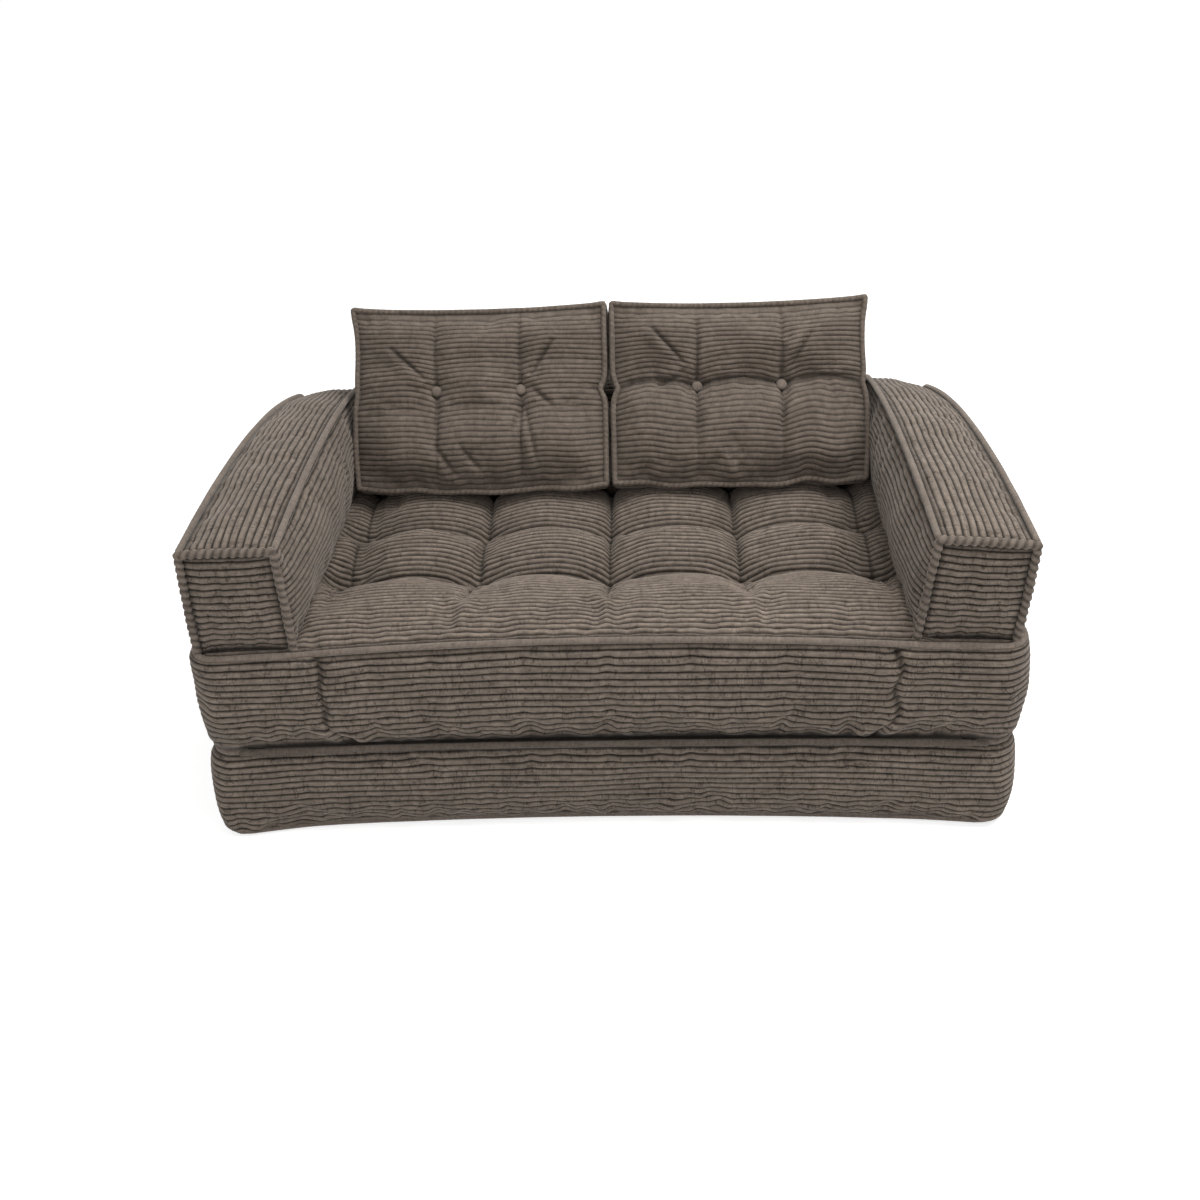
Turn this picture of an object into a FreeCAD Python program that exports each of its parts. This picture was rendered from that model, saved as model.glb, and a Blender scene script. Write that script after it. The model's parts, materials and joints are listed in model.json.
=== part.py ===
import FreeCAD, Part
import math
import os

vec = FreeCAD.Vector

# Driving dimensions of the two mattress layers, in millimetres
layer_width = 1460.0
layer_depth = 880.0
base_height = 200.0
seat_height = 201.0
layer_gap = 4.0
base_bulge = 20.0
seat_bulge = 22.0
layer_corner = 45.0
seam_draw_in = 6.0
foot_draw_in = 24.0
under_cloth_thickness = 2.5
under_cloth_inset = 6.0

# Cloth, cord and fit
cover_thickness = 4.0
fit_gap = 0.3
piping_radius = 6.0
tape_thickness = 1.5
tape_lap = 32.0
fold_clearance = 1.0

# Tufted top of the seat, rows counted from the front seam
tuft_pitch = 258.8
front_roll_depth = 287.0
middle_row_depth = 183.0
rear_row_depth = 240.0
rear_rise_depth = 45.0
front_roll_crown = 20.0
middle_row_crown = 10.0
rear_row_crown = 7.0
column_crown = 16.0
crease_depth = 37.0
panel_padding = 20.0
seat_button_radius = 9.0
seat_button_height = 7.0

# Arm bolsters
arm_width = 160.0
arm_length = 804.0
arm_height = 202.0
arm_arch = 35.0
arm_crown = 12.0
arm_bulge = 10.0
arm_front_set_back = 16.0
arm_side_set_in = 4.0
arm_front_corner = 14.0
strip_thickness = 1.5
strip_width = 60.0
strip_margin = 15.0
front_strip_length = 135.0
rear_strip_length = 35.0

# Back pillows
pillow_height = 376.0
pillow_boxing = 67.0
pillow_lean = 29.0
pillow_set_back = 633.0
pillow_bulge = 8.0
pillow_corner = 18.0
pillow_draw_in = 4.0
pillow_front_crown = 42.0
pillow_crease_crown = 18.0
pillow_back_crown = 34.0
pillow_back_side_crown = 44.0
pillow_row_height = 200.0
pillow_channel_spacing = 178.0
pillow_button_radius = 11.0
pillow_button_height = 8.0
pillow_side_gap = 5.0
pillow_gap = 4.0

# Wedge bolster behind the pillows
wedge_height = 175.0
wedge_crown = 10.0
wedge_rear_set_in = 2.0
wedge_side_gap = 8.0

# Zip closures
layer_zip_length = 600.0
arm_zip_length = 100.0
pillow_zip_length = 240.0
zip_slot_width = 18.0
zip_tape_depth = 1.6
zip_tape_thickness = 1.0
zip_coil_width = 5.0
zip_coil_height = 1.4
zip_slider_length = 10.0
zip_slider_width = 9.0
zip_slider_height = 4.2
zip_pull_length = 24.0
zip_pull_width = 6.0
zip_pull_thickness = 1.2
zip_pull_lift = 0.4
zip_end_margin = 14.0

# Heights and depths that follow from the driving dimensions
base_top = base_height
seat_bottom = base_top + layer_gap
seat_top = seat_bottom + seat_height
hinge_height = base_top + layer_gap / 2
hinge_reach = max(base_bulge, seat_bulge) + fold_clearance
seat_seam_slope = 4 * seat_bulge / seat_height
base_seam_slope = 4 * base_bulge / (base_height - under_cloth_thickness)
cord_offset = piping_radius + fit_gap
cord_lift = piping_radius / 2
cord_reach = cord_offset + piping_radius
zip_slider_base = fit_gap - zip_tape_depth
zip_slider_top = zip_slider_base + zip_slider_height
zip_reach = zip_slider_top + zip_pull_lift + zip_pull_thickness

# The origin lies under the middle of the overall depth, from the fold welt to the rear zip pulls
front_reach = hinge_reach + piping_radius
rear_reach = max(base_bulge, seat_bulge) - seam_draw_in + zip_reach
rear_reach = max(rear_reach, base_bulge, seat_bulge)
front_seam = -layer_depth / 2 + (front_reach - rear_reach) / 2
rear_seam = front_seam + layer_depth
layer_middle = (front_seam + rear_seam) / 2
hinge_line = front_seam - hinge_reach

row_a = front_seam + front_roll_depth
row_b = row_a + middle_row_depth
row_c = row_b + rear_row_depth
rear_shelf = row_c + rear_rise_depth
crease_height = seat_top - crease_depth
panel_bottom = crease_height - panel_padding

arm_outer = layer_width / 2 - arm_side_set_in
arm_inner = arm_outer - arm_width
arm_centre = (arm_outer + arm_inner) / 2
arm_front = front_seam + arm_front_set_back
arm_rear = arm_front + arm_length
arm_bottom = seat_top + 2 * strip_thickness + fit_gap
arm_clear = arm_inner - max(arm_bulge, cord_reach)
shelf_edge = arm_inner - arm_bulge - fit_gap

pillow_reach = (arm_clear - pillow_side_gap - pillow_gap / 2) / 2
pillow_width = 2 * (pillow_reach - cord_reach)
pillow_centre = pillow_gap / 2 + pillow_reach
wedge_width = 2 * (arm_clear - wedge_side_gap)

lean = math.radians(pillow_lean)
diagonal = math.cos(math.radians(45.0))
left_and_right = (("left", -1), ("right", 1))


def box(x0, x1, y0, y1, z0, z1):
    return Part.makeBox(x1 - x0, y1 - y0, z1 - z0, vec(x0, y0, z0))


def arc(start, middle, end):
    return Part.Arc(start, middle, end).toShape()


def line(start, end):
    return Part.LineSegment(start, end).toShape()


def prism(edges, direction):
    return Part.Face(Part.Wire(edges)).extrude(direction)


def turn_of(edge):
    return math.degrees(edge.LastParameter - edge.FirstParameter)


def swelling_block(edges, high, bulge):
    """A block on a level outline of arcs, its sides swelling between the lower and upper seam."""
    faces = []
    upper = []
    for edge in edges:
        start = edge.valueAt(edge.FirstParameter)
        heading = edge.tangentAt(edge.FirstParameter)
        rise = vec(0, 0, high - start.z)
        swell = vec(heading.y, -heading.x, 0) * bulge
        profile = arc(start, start + swell + rise * 0.5, start + rise)
        faces.append(profile.revolve(edge.Curve.Center, edge.Curve.Axis, turn_of(edge)))
        upper.append(edge.translated(rise))
    faces.append(Part.Face(Part.Wire(edges)))
    faces.append(Part.Face(Part.Wire(upper)))
    shell = Part.makeShell(faces)
    shell.sewShape()
    solid = Part.Solid(shell)
    if solid.Volume < 0:
        solid.reverse()
    return solid


def cord(edges):
    """A round cord along arcs that join smoothly, one turned length for each arc."""
    lengths = []
    for edge in edges:
        start = edge.valueAt(edge.FirstParameter)
        heading = edge.tangentAt(edge.FirstParameter)
        section = Part.Face(Part.Wire([Part.Circle(start, heading, piping_radius).toShape()]))
        lengths.append(section.revolve(edge.Curve.Center, edge.Curve.Axis, turn_of(edge)))
    if len(lengths) == 1:
        return lengths[0]
    return lengths[0].fuse(lengths[1:]).removeSplitter()


# Outlines whose sides are drawn in between rounded corners, all arcs tangent
def outline(width, depth, draw_in, side_draw_in, corner, height, middle=0.0):
    half = (width / 2 - corner, depth / 2 - corner)
    outward = ((0, -1), (1, 0), (0, 1), (-1, 0))
    along = ((1, 0), (0, 1), (-1, 0), (0, -1))

    def place(u, v):
        return vec(u, v + middle, height)

    sides = []
    for index in range(4):
        normal = outward[index]
        run = along[index]
        sag = side_draw_in if index % 2 else draw_in
        length = half[index % 2]
        reach = half[1 - index % 2]
        radius = (length ** 2 + (corner - sag) ** 2 - corner ** 2) / (2 * sag)
        centre = reach + corner - sag + radius
        ends = []
        for sign in (-1, 1):
            turn_n = (centre - reach) / (radius + corner)
            turn_r = -sign * length / (radius + corner)
            n = reach + corner * turn_n
            r = sign * length + corner * turn_r
            ends.append(place(n * normal[0] + r * run[0], n * normal[1] + r * run[1]))
        n = reach + corner - sag
        sides.append((ends[0], place(n * normal[0], n * normal[1]), ends[1]))

    edges = []
    for index in range(4):
        normal = outward[index]
        next_normal = outward[(index + 1) % 4]
        bend = corner / math.sqrt(2)
        u = (normal[0] + next_normal[0]) * (half[0] + bend)
        v = (normal[1] + next_normal[1]) * (half[1] + bend)
        edges.append(arc(*sides[index]))
        edges.append(arc(sides[index][2], place(u, v), sides[(index + 1) % 4][0]))
    return edges


def layer_outline(inset, height):
    return outline(layer_width - 2 * inset, layer_depth - 2 * inset, seam_draw_in, seam_draw_in,
                   layer_corner - inset, height, layer_middle)


def layer_block(low, high, bulge, inset, open_top=False):
    """A mattress layer, drawn in at its seams and swelling between them."""
    top = high if open_top else high - inset
    return swelling_block(layer_outline(inset, low + inset), top, bulge)


def seam_cord_offset(slope, drop):
    """How far out a cord lies beside a swelling side, at a drop from the seam."""
    return cord_offset * math.sqrt(1 + slope ** 2) + slope * drop


# Zip closures, drawn along X with the outward side up, then put in place
def zip_slot(length):
    return box(-length / 2, length / 2, -zip_slot_width / 2, zip_slot_width / 2,
               -2 * cover_thickness, 2 * cover_thickness)


def zip_tape(length):
    half = length / 2 - fit_gap
    width = zip_slot_width / 2 - fit_gap
    tape = box(-half, half, -width, width, -zip_tape_depth - zip_tape_thickness, -zip_tape_depth)
    coil = box(-half, half, -zip_coil_width / 2, zip_coil_width / 2,
               -zip_tape_depth, zip_coil_height - zip_tape_depth)
    return tape.fuse(coil).removeSplitter()


def zip_slider(length):
    """The slider at its closed end, its pull lying back over the zip."""
    end = length / 2 - zip_end_margin
    half = zip_slider_width / 2
    body = box(end - zip_slider_length, end, -half, half, zip_slider_base, zip_slider_top)
    tunnel_half = zip_coil_width / 2 + fit_gap
    tunnel = box(end - zip_slider_length, end, -tunnel_half, tunnel_half,
                 zip_slider_base, zip_coil_height - zip_tape_depth + fit_gap)
    pull_half = zip_pull_width / 2
    pull_low = zip_slider_top + zip_pull_lift
    pull_start = end - zip_slider_length / 2
    pull = box(pull_start - zip_pull_length, pull_start, -pull_half, pull_half,
               pull_low, pull_low + zip_pull_thickness)
    bail = box(pull_start - zip_pull_width, pull_start, -zip_coil_width / 2, zip_coil_width / 2,
               zip_slider_top, pull_low)
    return body.cut(tunnel).fuse([pull, bail]).removeSplitter()


def zip_travel(length):
    return length - 2 * zip_end_margin - zip_slider_length


def placement(position, angle):
    """Turned about X by an angle, then moved."""
    return FreeCAD.Placement(position, FreeCAD.Rotation(vec(1, 0, 0), angle))


def placed(shape, spot):
    moved = shape.copy()
    moved.Placement = spot.multiply(moved.Placement)
    return moved


rear_facing = -90.0
zips = {}


def add_zip(name, length, spot):
    zips[name] = {"slot": placed(zip_slot(length), spot), "travel": zip_travel(length)}
    parts[name + "_zip"] = placed(zip_tape(length), spot)
    parts[name + "_zip_slider"] = placed(zip_slider(length), spot)
    return zips[name]["slot"]


parts = {}

# Base layer: casing, foam, under-cloth, corded edge and zip
cloth_top = under_cloth_thickness
foot = outline(layer_width - 2 * under_cloth_inset, layer_depth - 2 * under_cloth_inset,
               foot_draw_in, foot_draw_in, layer_corner - under_cloth_inset, 0.0, layer_middle)
parts["base_under_cloth"] = prism(foot, vec(0, 0, under_cloth_thickness))


def base_block(inset):
    return layer_block(cloth_top, base_top, base_bulge, inset)


base_zip_spot = placement(
    vec(0, rear_seam + base_bulge - seam_draw_in, (cloth_top + base_top) / 2), rear_facing)
base_slot = add_zip("base", layer_zip_length, base_zip_spot)
parts["base_cover"] = base_block(0.0).cut([base_block(cover_thickness), base_slot])
parts["base_core"] = base_block(cover_thickness + fit_gap)

# The groove cord lies between both layers' seams, off the front where the fold welt runs
groove_offset = math.sqrt(cord_offset ** 2 - (layer_gap / 2) ** 2)
groove = layer_outline(-groove_offset, hinge_height)
foot_cord_height = cord_offset
foot_cord_offset = seam_cord_offset(base_seam_slope, foot_cord_height - cloth_top)
foot_cord = cord(layer_outline(-foot_cord_offset, foot_cord_height))
parts["base_piping"] = Part.makeCompound([cord(groove[1:]), foot_cord])

# The fold: two cloth leaves and a corded welt on the axis, forward of both seams
welt_half = layer_width / 2 - layer_corner
leaf_half = welt_half - layer_corner
leaf_front = hinge_line + cord_offset
leaf_rear = front_seam + tape_lap
welt = Part.makeCylinder(piping_radius, 2 * welt_half, vec(-welt_half, hinge_line, hinge_height),
                         vec(1, 0, 0))
parts["fold_welt"] = welt
parts["base_hinge_tape"] = box(-leaf_half, leaf_half, leaf_front, leaf_rear,
                               base_top, base_top + tape_thickness)
parts["seat_hinge_tape"] = box(-leaf_half, leaf_half, leaf_front, leaf_rear,
                               seat_bottom - tape_thickness, seat_bottom)


# Seat layer: casing, foam, corded edge and zip
def seat_block(inset, open_top=False):
    return layer_block(seat_bottom, seat_top, seat_bulge, inset, open_top)


seat_zip_spot = placement(
    vec(0, rear_seam + seat_bulge - seam_draw_in, (seat_bottom + seat_top) / 2), rear_facing)
seat_slot = add_zip("seat", layer_zip_length, seat_zip_spot)
parts["seat_cover"] = seat_block(0.0).cut([seat_block(cover_thickness, True), seat_slot])
under_panel = box(-layer_width, layer_width, -layer_depth, layer_depth, 0.0, panel_bottom - fit_gap)
parts["seat_core"] = seat_block(cover_thickness + fit_gap).common(under_panel)

# The top cord hangs on the seam, low enough to pass under the arms
seat_cord_height = arm_bottom - cord_offset
seat_cord_drop = seat_top - seat_cord_height
seat_cord_offset = seam_cord_offset(seat_seam_slope, seat_cord_drop)
parts["seat_piping"] = cord(layer_outline(-seat_cord_offset, seat_cord_height))


# Quilted top: a front roll and rows of tufts across, cut by creases from front to rear
def row_point(depth, height):
    return vec(-shelf_edge, depth, height)


def row_edges():
    rise = math.sqrt(front_roll_crown)
    fall = math.sqrt(front_roll_crown + crease_depth)
    roll_top = front_seam + front_roll_depth * rise / (rise + fall)
    rear_radius = (rear_rise_depth ** 2 + crease_depth ** 2) / (2 * crease_depth)
    half_turn = math.asin(rear_rise_depth / rear_radius) / 2
    rear_middle = row_point(rear_shelf - rear_radius * math.sin(half_turn),
                            seat_top - rear_radius * (1 - math.cos(half_turn)))
    front = row_point(front_seam, seat_top)
    a = row_point(row_a, crease_height)
    b = row_point(row_b, crease_height)
    c = row_point(row_c, crease_height)
    shelf = row_point(rear_shelf, seat_top)
    rear = row_point(rear_seam, seat_top)
    rear_low = row_point(rear_seam, panel_bottom)
    front_low = row_point(front_seam, panel_bottom)
    return [
        arc(front, row_point(roll_top, seat_top + front_roll_crown), a),
        arc(a, row_point((row_a + row_b) / 2, seat_top + middle_row_crown), b),
        arc(b, row_point((row_b + row_c) / 2, seat_top + rear_row_crown), c),
        arc(c, rear_middle, shelf),
        line(shelf, rear),
        line(rear, rear_low),
        line(rear_low, front_low),
        line(front_low, front),
    ]


def column_cutter():
    """What lies above the columns of tufts, between the arms."""
    rise = crease_depth + column_crown
    radius = ((tuft_pitch / 2) ** 2 + rise ** 2) / (2 * rise)
    low = crease_height + rise - radius
    high = seat_top + crease_depth + column_crown
    last = math.floor(shelf_edge / tuft_pitch)

    def over(x, middle):
        return vec(x, row_a, low + math.sqrt(radius ** 2 - (x - middle) ** 2))

    edges = []
    for index in range(-last - 1, last + 1):
        start = max(index * tuft_pitch, -shelf_edge)
        end = min((index + 1) * tuft_pitch, shelf_edge)
        middle = (index + 0.5) * tuft_pitch
        edges.append(arc(over(start, middle), over((start + end) / 2, middle), over(end, middle)))
    first = edges[0].valueAt(edges[0].FirstParameter)
    final = edges[-1].valueAt(edges[-1].LastParameter)
    top_right = vec(final.x, row_a, high)
    top_left = vec(first.x, row_a, high)
    edges += [line(final, top_right), line(top_right, top_left), line(top_left, first)]
    return prism(edges, vec(0, row_c - row_a, 0)), last


def arm_shelf(sign):
    """The plain part of the panel that an arm stands on."""
    edges = sorted((sign * shelf_edge, sign * layer_width))
    return box(edges[0], edges[1], -layer_depth, layer_depth, panel_bottom, seat_top)


def domed_button(radius, height, spot):
    """A covered button: a short disc under a dome."""
    disc_height = height / 2
    dome_rise = height - disc_height
    dome_radius = (radius ** 2 + dome_rise ** 2) / (2 * dome_rise)
    profile = [
        line(vec(0, 0, 0), vec(radius, 0, 0)),
        line(vec(radius, 0, 0), vec(radius, 0, disc_height)),
        arc(vec(radius, 0, disc_height),
            vec(radius / 2, 0, height - dome_radius + math.sqrt(dome_radius ** 2 - radius ** 2 / 4)),
            vec(0, 0, height)),
        line(vec(0, 0, height), vec(0, 0, 0)),
    ]
    button = Part.Face(Part.Wire(profile)).revolve(vec(0, 0, 0), vec(0, 0, 1), 360)
    button.translate(spot)
    return button


columns, last_crease = column_cutter()
panel_outline = layer_outline(cover_thickness + fit_gap, panel_bottom)
panel_room = prism(panel_outline, vec(0, 0, seat_top - panel_bottom + 2 * crease_depth))
rows = prism(row_edges(), vec(2 * shelf_edge, 0, 0))
button_spots = [vec(index * tuft_pitch, row, crease_height)
                for row in (row_a, row_b) for index in range(-last_crease, last_crease + 1)]
pockets = [Part.makeCylinder(seat_button_radius + fit_gap, 2 * crease_depth, spot)
           for spot in button_spots]
tufts = panel_room.common(rows).cut([columns] + pockets)
shelves = [panel_room.common(arm_shelf(sign)) for side, sign in left_and_right]
parts["seat_top_panel"] = tufts.fuse(shelves).removeSplitter()
parts["seat_buttons"] = Part.makeCompound(
    [domed_button(seat_button_radius, seat_button_height, spot) for spot in button_spots])

# Strips that hold the arms, one near each end of the arm where it lies on the seat
front_strip_start = arm_front + strip_margin
rear_strip_end = min(arm_rear, rear_seam - seam_draw_in) - strip_margin
strip_runs = ((front_strip_start, front_strip_start + front_strip_length),
              (rear_strip_end - rear_strip_length, rear_strip_end))


def arm_strips(sign, low):
    middle = sign * arm_centre
    return [box(middle - strip_width / 2, middle + strip_width / 2, start, end,
                low, low + strip_thickness) for start, end in strip_runs]


loops = arm_strips(-1, seat_top) + arm_strips(1, seat_top)
parts["seat_loop_strips"] = Part.makeCompound(loops)

# Arm bolsters: a crowned section swept along an arched top
arm_middle = (arm_front + arm_rear) / 2
arm_radius = ((arm_length / 2) ** 2 + arm_arch ** 2) / (2 * arm_arch)
arm_edge_top = arm_bottom + arm_height + arm_arch
arm_pivot = vec(0, arm_middle, arm_edge_top - arm_radius)
arm_swing = math.degrees(math.asin(arm_length / 2 / arm_radius))


def arm_block(sign, inset):
    half = arm_width / 2 - inset
    low = arm_bottom - arm_arch
    high = arm_edge_top - inset
    middle = sign * arm_centre

    def at(across, height):
        return vec(middle + across, arm_middle, height)

    section = [
        line(at(-half, low), at(half, low)),
        arc(at(half, low), at(half + arm_bulge, (low + high) / 2), at(half, high)),
        arc(at(half, high), at(0, high + arm_crown), at(-half, high)),
        arc(at(-half, high), at(-half - arm_bulge, (low + high) / 2), at(-half, low)),
    ]
    face = Part.Face(Part.Wire(section))
    swing = 1.2 * arm_swing
    face.rotate(arm_pivot, vec(1, 0, 0), -swing)
    sweep = face.revolve(arm_pivot, vec(1, 0, 0), 2 * swing)
    room = box(middle - arm_width, middle + arm_width, arm_front + inset, arm_rear - inset,
               arm_bottom + inset, arm_edge_top + 2 * arm_crown)
    return sweep.common(room)


def arm_piping(sign):
    """Cords along both top edges and round the front panel."""
    middle = sign * arm_centre
    lift = cord_offset * diagonal
    radius = arm_radius + lift
    turn = math.asin(arm_length / 2 / radius)
    cords = []
    for side in (-1, 1):
        across = middle + side * (arm_width / 2 + lift)
        points = [vec(across, arm_middle + radius * math.sin(turn * share),
                      arm_pivot.z + radius * math.cos(turn * share)) for share in (-1, 0, 1)]
        cords.append(cord([arc(*points)]))
    frame = outline(arm_width, arm_height, -arm_crown, -arm_bulge, arm_front_corner, 0.0)
    spot = placement(vec(middle, arm_front - cord_offset, arm_bottom + arm_height / 2), 90.0)
    edges = []
    for edge in frame[2:7]:
        edges.append(placed(edge, spot))
    cords.append(cord(edges))
    return Part.makeCompound(cords)


for side, sign in left_and_right:
    name = side + "_arm"
    spot = placement(vec(sign * arm_centre, arm_rear, arm_bottom + arm_height / 2), rear_facing)
    slot = add_zip(name, arm_zip_length, spot)
    parts[name + "_cover"] = arm_block(sign, 0.0).cut([arm_block(sign, cover_thickness), slot])
    parts[name + "_core"] = arm_block(sign, cover_thickness + fit_gap)
    parts[name + "_piping"] = arm_piping(sign)
    hooks = arm_strips(sign, seat_top + strip_thickness + fit_gap)
    parts[name + "_hook_strips"] = Part.makeCompound(hooks)

# Where a pillow stands: its rear bottom cord rests on the rear row of tufts
rear_row_rise = crease_depth + rear_row_crown
rear_row_radius = ((rear_row_depth / 2) ** 2 + rear_row_rise ** 2) / (2 * rear_row_rise)
rear_row_middle = (row_b + row_c) / 2
rear_row_low = seat_top + rear_row_crown - rear_row_radius
cord_back = -cord_offset * math.sin(lean) + cord_lift * math.cos(lean)
cord_down = -cord_offset * math.cos(lean) - cord_lift * math.sin(lean)
pillow_foot_y = front_seam + pillow_set_back
cord_from_middle = pillow_foot_y + cord_back - rear_row_middle
cord_height = rear_row_low + math.sqrt((rear_row_radius + cord_offset) ** 2 - cord_from_middle ** 2)
pillow_foot_z = cord_height - cord_down
pillow_turn = 90.0 - pillow_lean


def pillow_spot(sign):
    return placement(vec(sign * pillow_centre, pillow_foot_y, pillow_foot_z), pillow_turn)


# A pillow is drawn lying on its back: X across, Y up its height, Z from back to front
def pillow_outline(inset, height):
    return outline(pillow_width - 2 * inset, pillow_height - 2 * inset, pillow_draw_in, pillow_draw_in,
                   pillow_corner - inset, height, pillow_height / 2)


def pillow_block(inset):
    return swelling_block(pillow_outline(inset, 0.0), pillow_boxing, pillow_bulge)


def channel_edges(stops, place, low, crown):
    """Arcs from crease to crease, down to nothing at both outer seams."""
    edges = []
    for index in range(len(stops) - 1):
        start, end = stops[index], stops[index + 1]
        start_rise = 0.0 if index == 0 else pillow_crease_crown
        end_rise = 0.0 if index == len(stops) - 2 else pillow_crease_crown
        middle = place((start + end) / 2, crown)
        edges.append(arc(place(start, start_rise), middle, place(end, end_rise)))
    first, last = stops[0], stops[-1]
    edges += [line(place(last, 0.0), place(last, low)), line(place(last, low), place(first, low)),
              line(place(first, low), place(first, 0.0))]
    return edges


panel_edge = cover_thickness + fit_gap
panel_depth = panel_padding
pillow_buttons_at = [vec(side * pillow_channel_spacing / 2, pillow_row_height,
                         pillow_boxing + pillow_crease_crown - pillow_button_height / 2) for side in (-1, 1)]


def pillow_front():
    """The sewn front: three channels across, two rows up, with button pockets."""
    low = -panel_depth
    room = prism(pillow_outline(panel_edge, pillow_boxing + low),
                 vec(0, 0, panel_depth + 2 * pillow_front_crown))
    half = pillow_width / 2
    channel = pillow_channel_spacing / 2

    def across(x, rise):
        return vec(x, 0, pillow_boxing + rise)

    def up(y, rise):
        return vec(-half, y, pillow_boxing + rise)

    crown = pillow_front_crown
    columns = prism(channel_edges((-half, -channel, channel, half), across, low, crown),
                    vec(0, pillow_height, 0))
    rows = prism(channel_edges((0.0, pillow_row_height, pillow_height), up, low, crown),
                 vec(pillow_width, 0, 0))
    pockets = [Part.makeCylinder(pillow_button_radius + fit_gap, 2 * pillow_front_crown, spot)
               for spot in pillow_buttons_at]
    return room.common(columns.common(rows)).cut(pockets)


def pillow_back():
    """The plain crowned back, one arc across and one up its height."""
    low = -panel_depth
    room = prism(pillow_outline(panel_edge, panel_depth), vec(0, 0, -panel_depth - 2 * pillow_back_side_crown))
    half = pillow_width / 2

    def across(x, rise):
        return vec(x, 0, -rise)

    def up(y, rise):
        return vec(-half, y, -rise)

    columns = prism(channel_edges((-half, half), across, low, pillow_back_side_crown),
                    vec(0, pillow_height, 0))
    rows = prism(channel_edges((0.0, pillow_height), up, low, pillow_back_crown), vec(pillow_width, 0, 0))
    return room.common(columns.common(rows))


def pillow_core():
    low = panel_depth + fit_gap
    return prism(pillow_outline(panel_edge, low), vec(0, 0, pillow_boxing - 2 * low))


def pillow_piping():
    cords = [cord(pillow_outline(-cord_offset, -cord_lift)),
             cord(pillow_outline(-cord_offset, pillow_boxing + cord_lift))]
    return Part.makeCompound(cords)


zip_in_pillow = placement(vec(0, pillow_draw_in - pillow_bulge, pillow_boxing / 2), 90.0)
boxing_shape = pillow_block(0.0).cut(pillow_block(cover_thickness))
front_shape = pillow_front()
back_shape = pillow_back()
core_shape = pillow_core()
piping_shape = pillow_piping()
button_shape = Part.makeCompound(
    [domed_button(pillow_button_radius, pillow_button_height, spot) for spot in pillow_buttons_at])

for side, sign in left_and_right:
    name = side + "_pillow"
    spot = pillow_spot(sign)
    slot = add_zip(name, pillow_zip_length, spot.multiply(zip_in_pillow))
    parts[name + "_boxing"] = placed(boxing_shape, spot).cut(slot)
    parts[name + "_front_panel"] = placed(front_shape, spot)
    parts[name + "_back_panel"] = placed(back_shape, spot)
    parts[name + "_core"] = placed(core_shape, spot)
    parts[name + "_piping"] = placed(piping_shape, spot)
    parts[name + "_buttons"] = placed(button_shape, spot)

# Back wedge: its sloping front carries the pillows' backs
wedge_bottom = seat_top + fit_gap
wedge_top = wedge_bottom + wedge_height
wedge_rear = rear_seam - seam_draw_in - wedge_rear_set_in
back_distance = pillow_back_crown + fit_gap


def wedge_front(height, inset):
    return (pillow_foot_y + (height - pillow_foot_z) * math.tan(lean)
            + (back_distance + inset) / math.cos(lean))


def wedge_block(inset):
    half = wedge_width / 2 - inset
    low = wedge_bottom + inset
    high = wedge_top - inset
    rear = wedge_rear - inset
    front_high = wedge_front(high, inset)

    def at(depth, height):
        return vec(-half, depth, height)

    section = [
        line(at(wedge_front(low, inset), low), at(rear, low)),
        line(at(rear, low), at(rear, high)),
        arc(at(rear, high), at((rear + front_high) / 2, high + wedge_crown), at(front_high, high)),
        line(at(front_high, high), at(wedge_front(low, inset), low)),
    ]
    return prism(section, vec(2 * half, 0, 0))


wedge_zip_spot = placement(vec(0, wedge_rear, (wedge_bottom + wedge_top) / 2), rear_facing)
wedge_slot = add_zip("back_wedge", layer_zip_length, wedge_zip_spot)
parts["back_wedge_cover"] = wedge_block(0.0).cut([wedge_block(cover_thickness), wedge_slot])
parts["back_wedge_core"] = wedge_block(cover_thickness + fit_gap)
wedge_cord = cord_offset * diagonal
parts["back_wedge_piping"] = Part.makeCylinder(
    piping_radius, wedge_width, vec(-wedge_width / 2, wedge_rear + wedge_cord, wedge_top + wedge_cord),
    vec(1, 0, 0))

# Write each piece to its own file and say what was made
os.makedirs("parts", exist_ok=True)
for name in sorted(parts):
    shape = parts[name]
    shape.exportStep(os.path.join("parts", name + ".step"))
    print(f"{name}: {len(shape.Solids)} solids, {shape.Volume / 1e6:.4f} litres, valid {shape.isValid()}")
print(f"fold axis at y {hinge_line:.3f}, z {hinge_height:.3f}")
for name, closure in sorted(zips.items()):
    print(f"{name} zip travel {closure['travel']:.3f}")
print(f"seat between the arms: x {arm_clear:.1f}, y {arm_front:.1f} to {pillow_foot_y:.1f}, z {seat_top:.1f}")
print(f"pillow foot y {pillow_foot_y:.2f}, z {pillow_foot_z:.2f}, width {pillow_width:.2f}")
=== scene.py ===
# %% [markdown]
# A low floor sofa in wide-wale corduroy: two stacked mattress layers, two arm bolsters, two leaning
# pillows and a wedge behind them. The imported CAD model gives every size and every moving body.
# This lesson dresses those bodies in cloth that is cut, sewn, blown up and ribbed like the real one.

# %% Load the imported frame
import json
import math
import bpy
import bmesh
import numpy as np
from mathutils import Matrix, Vector


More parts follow.
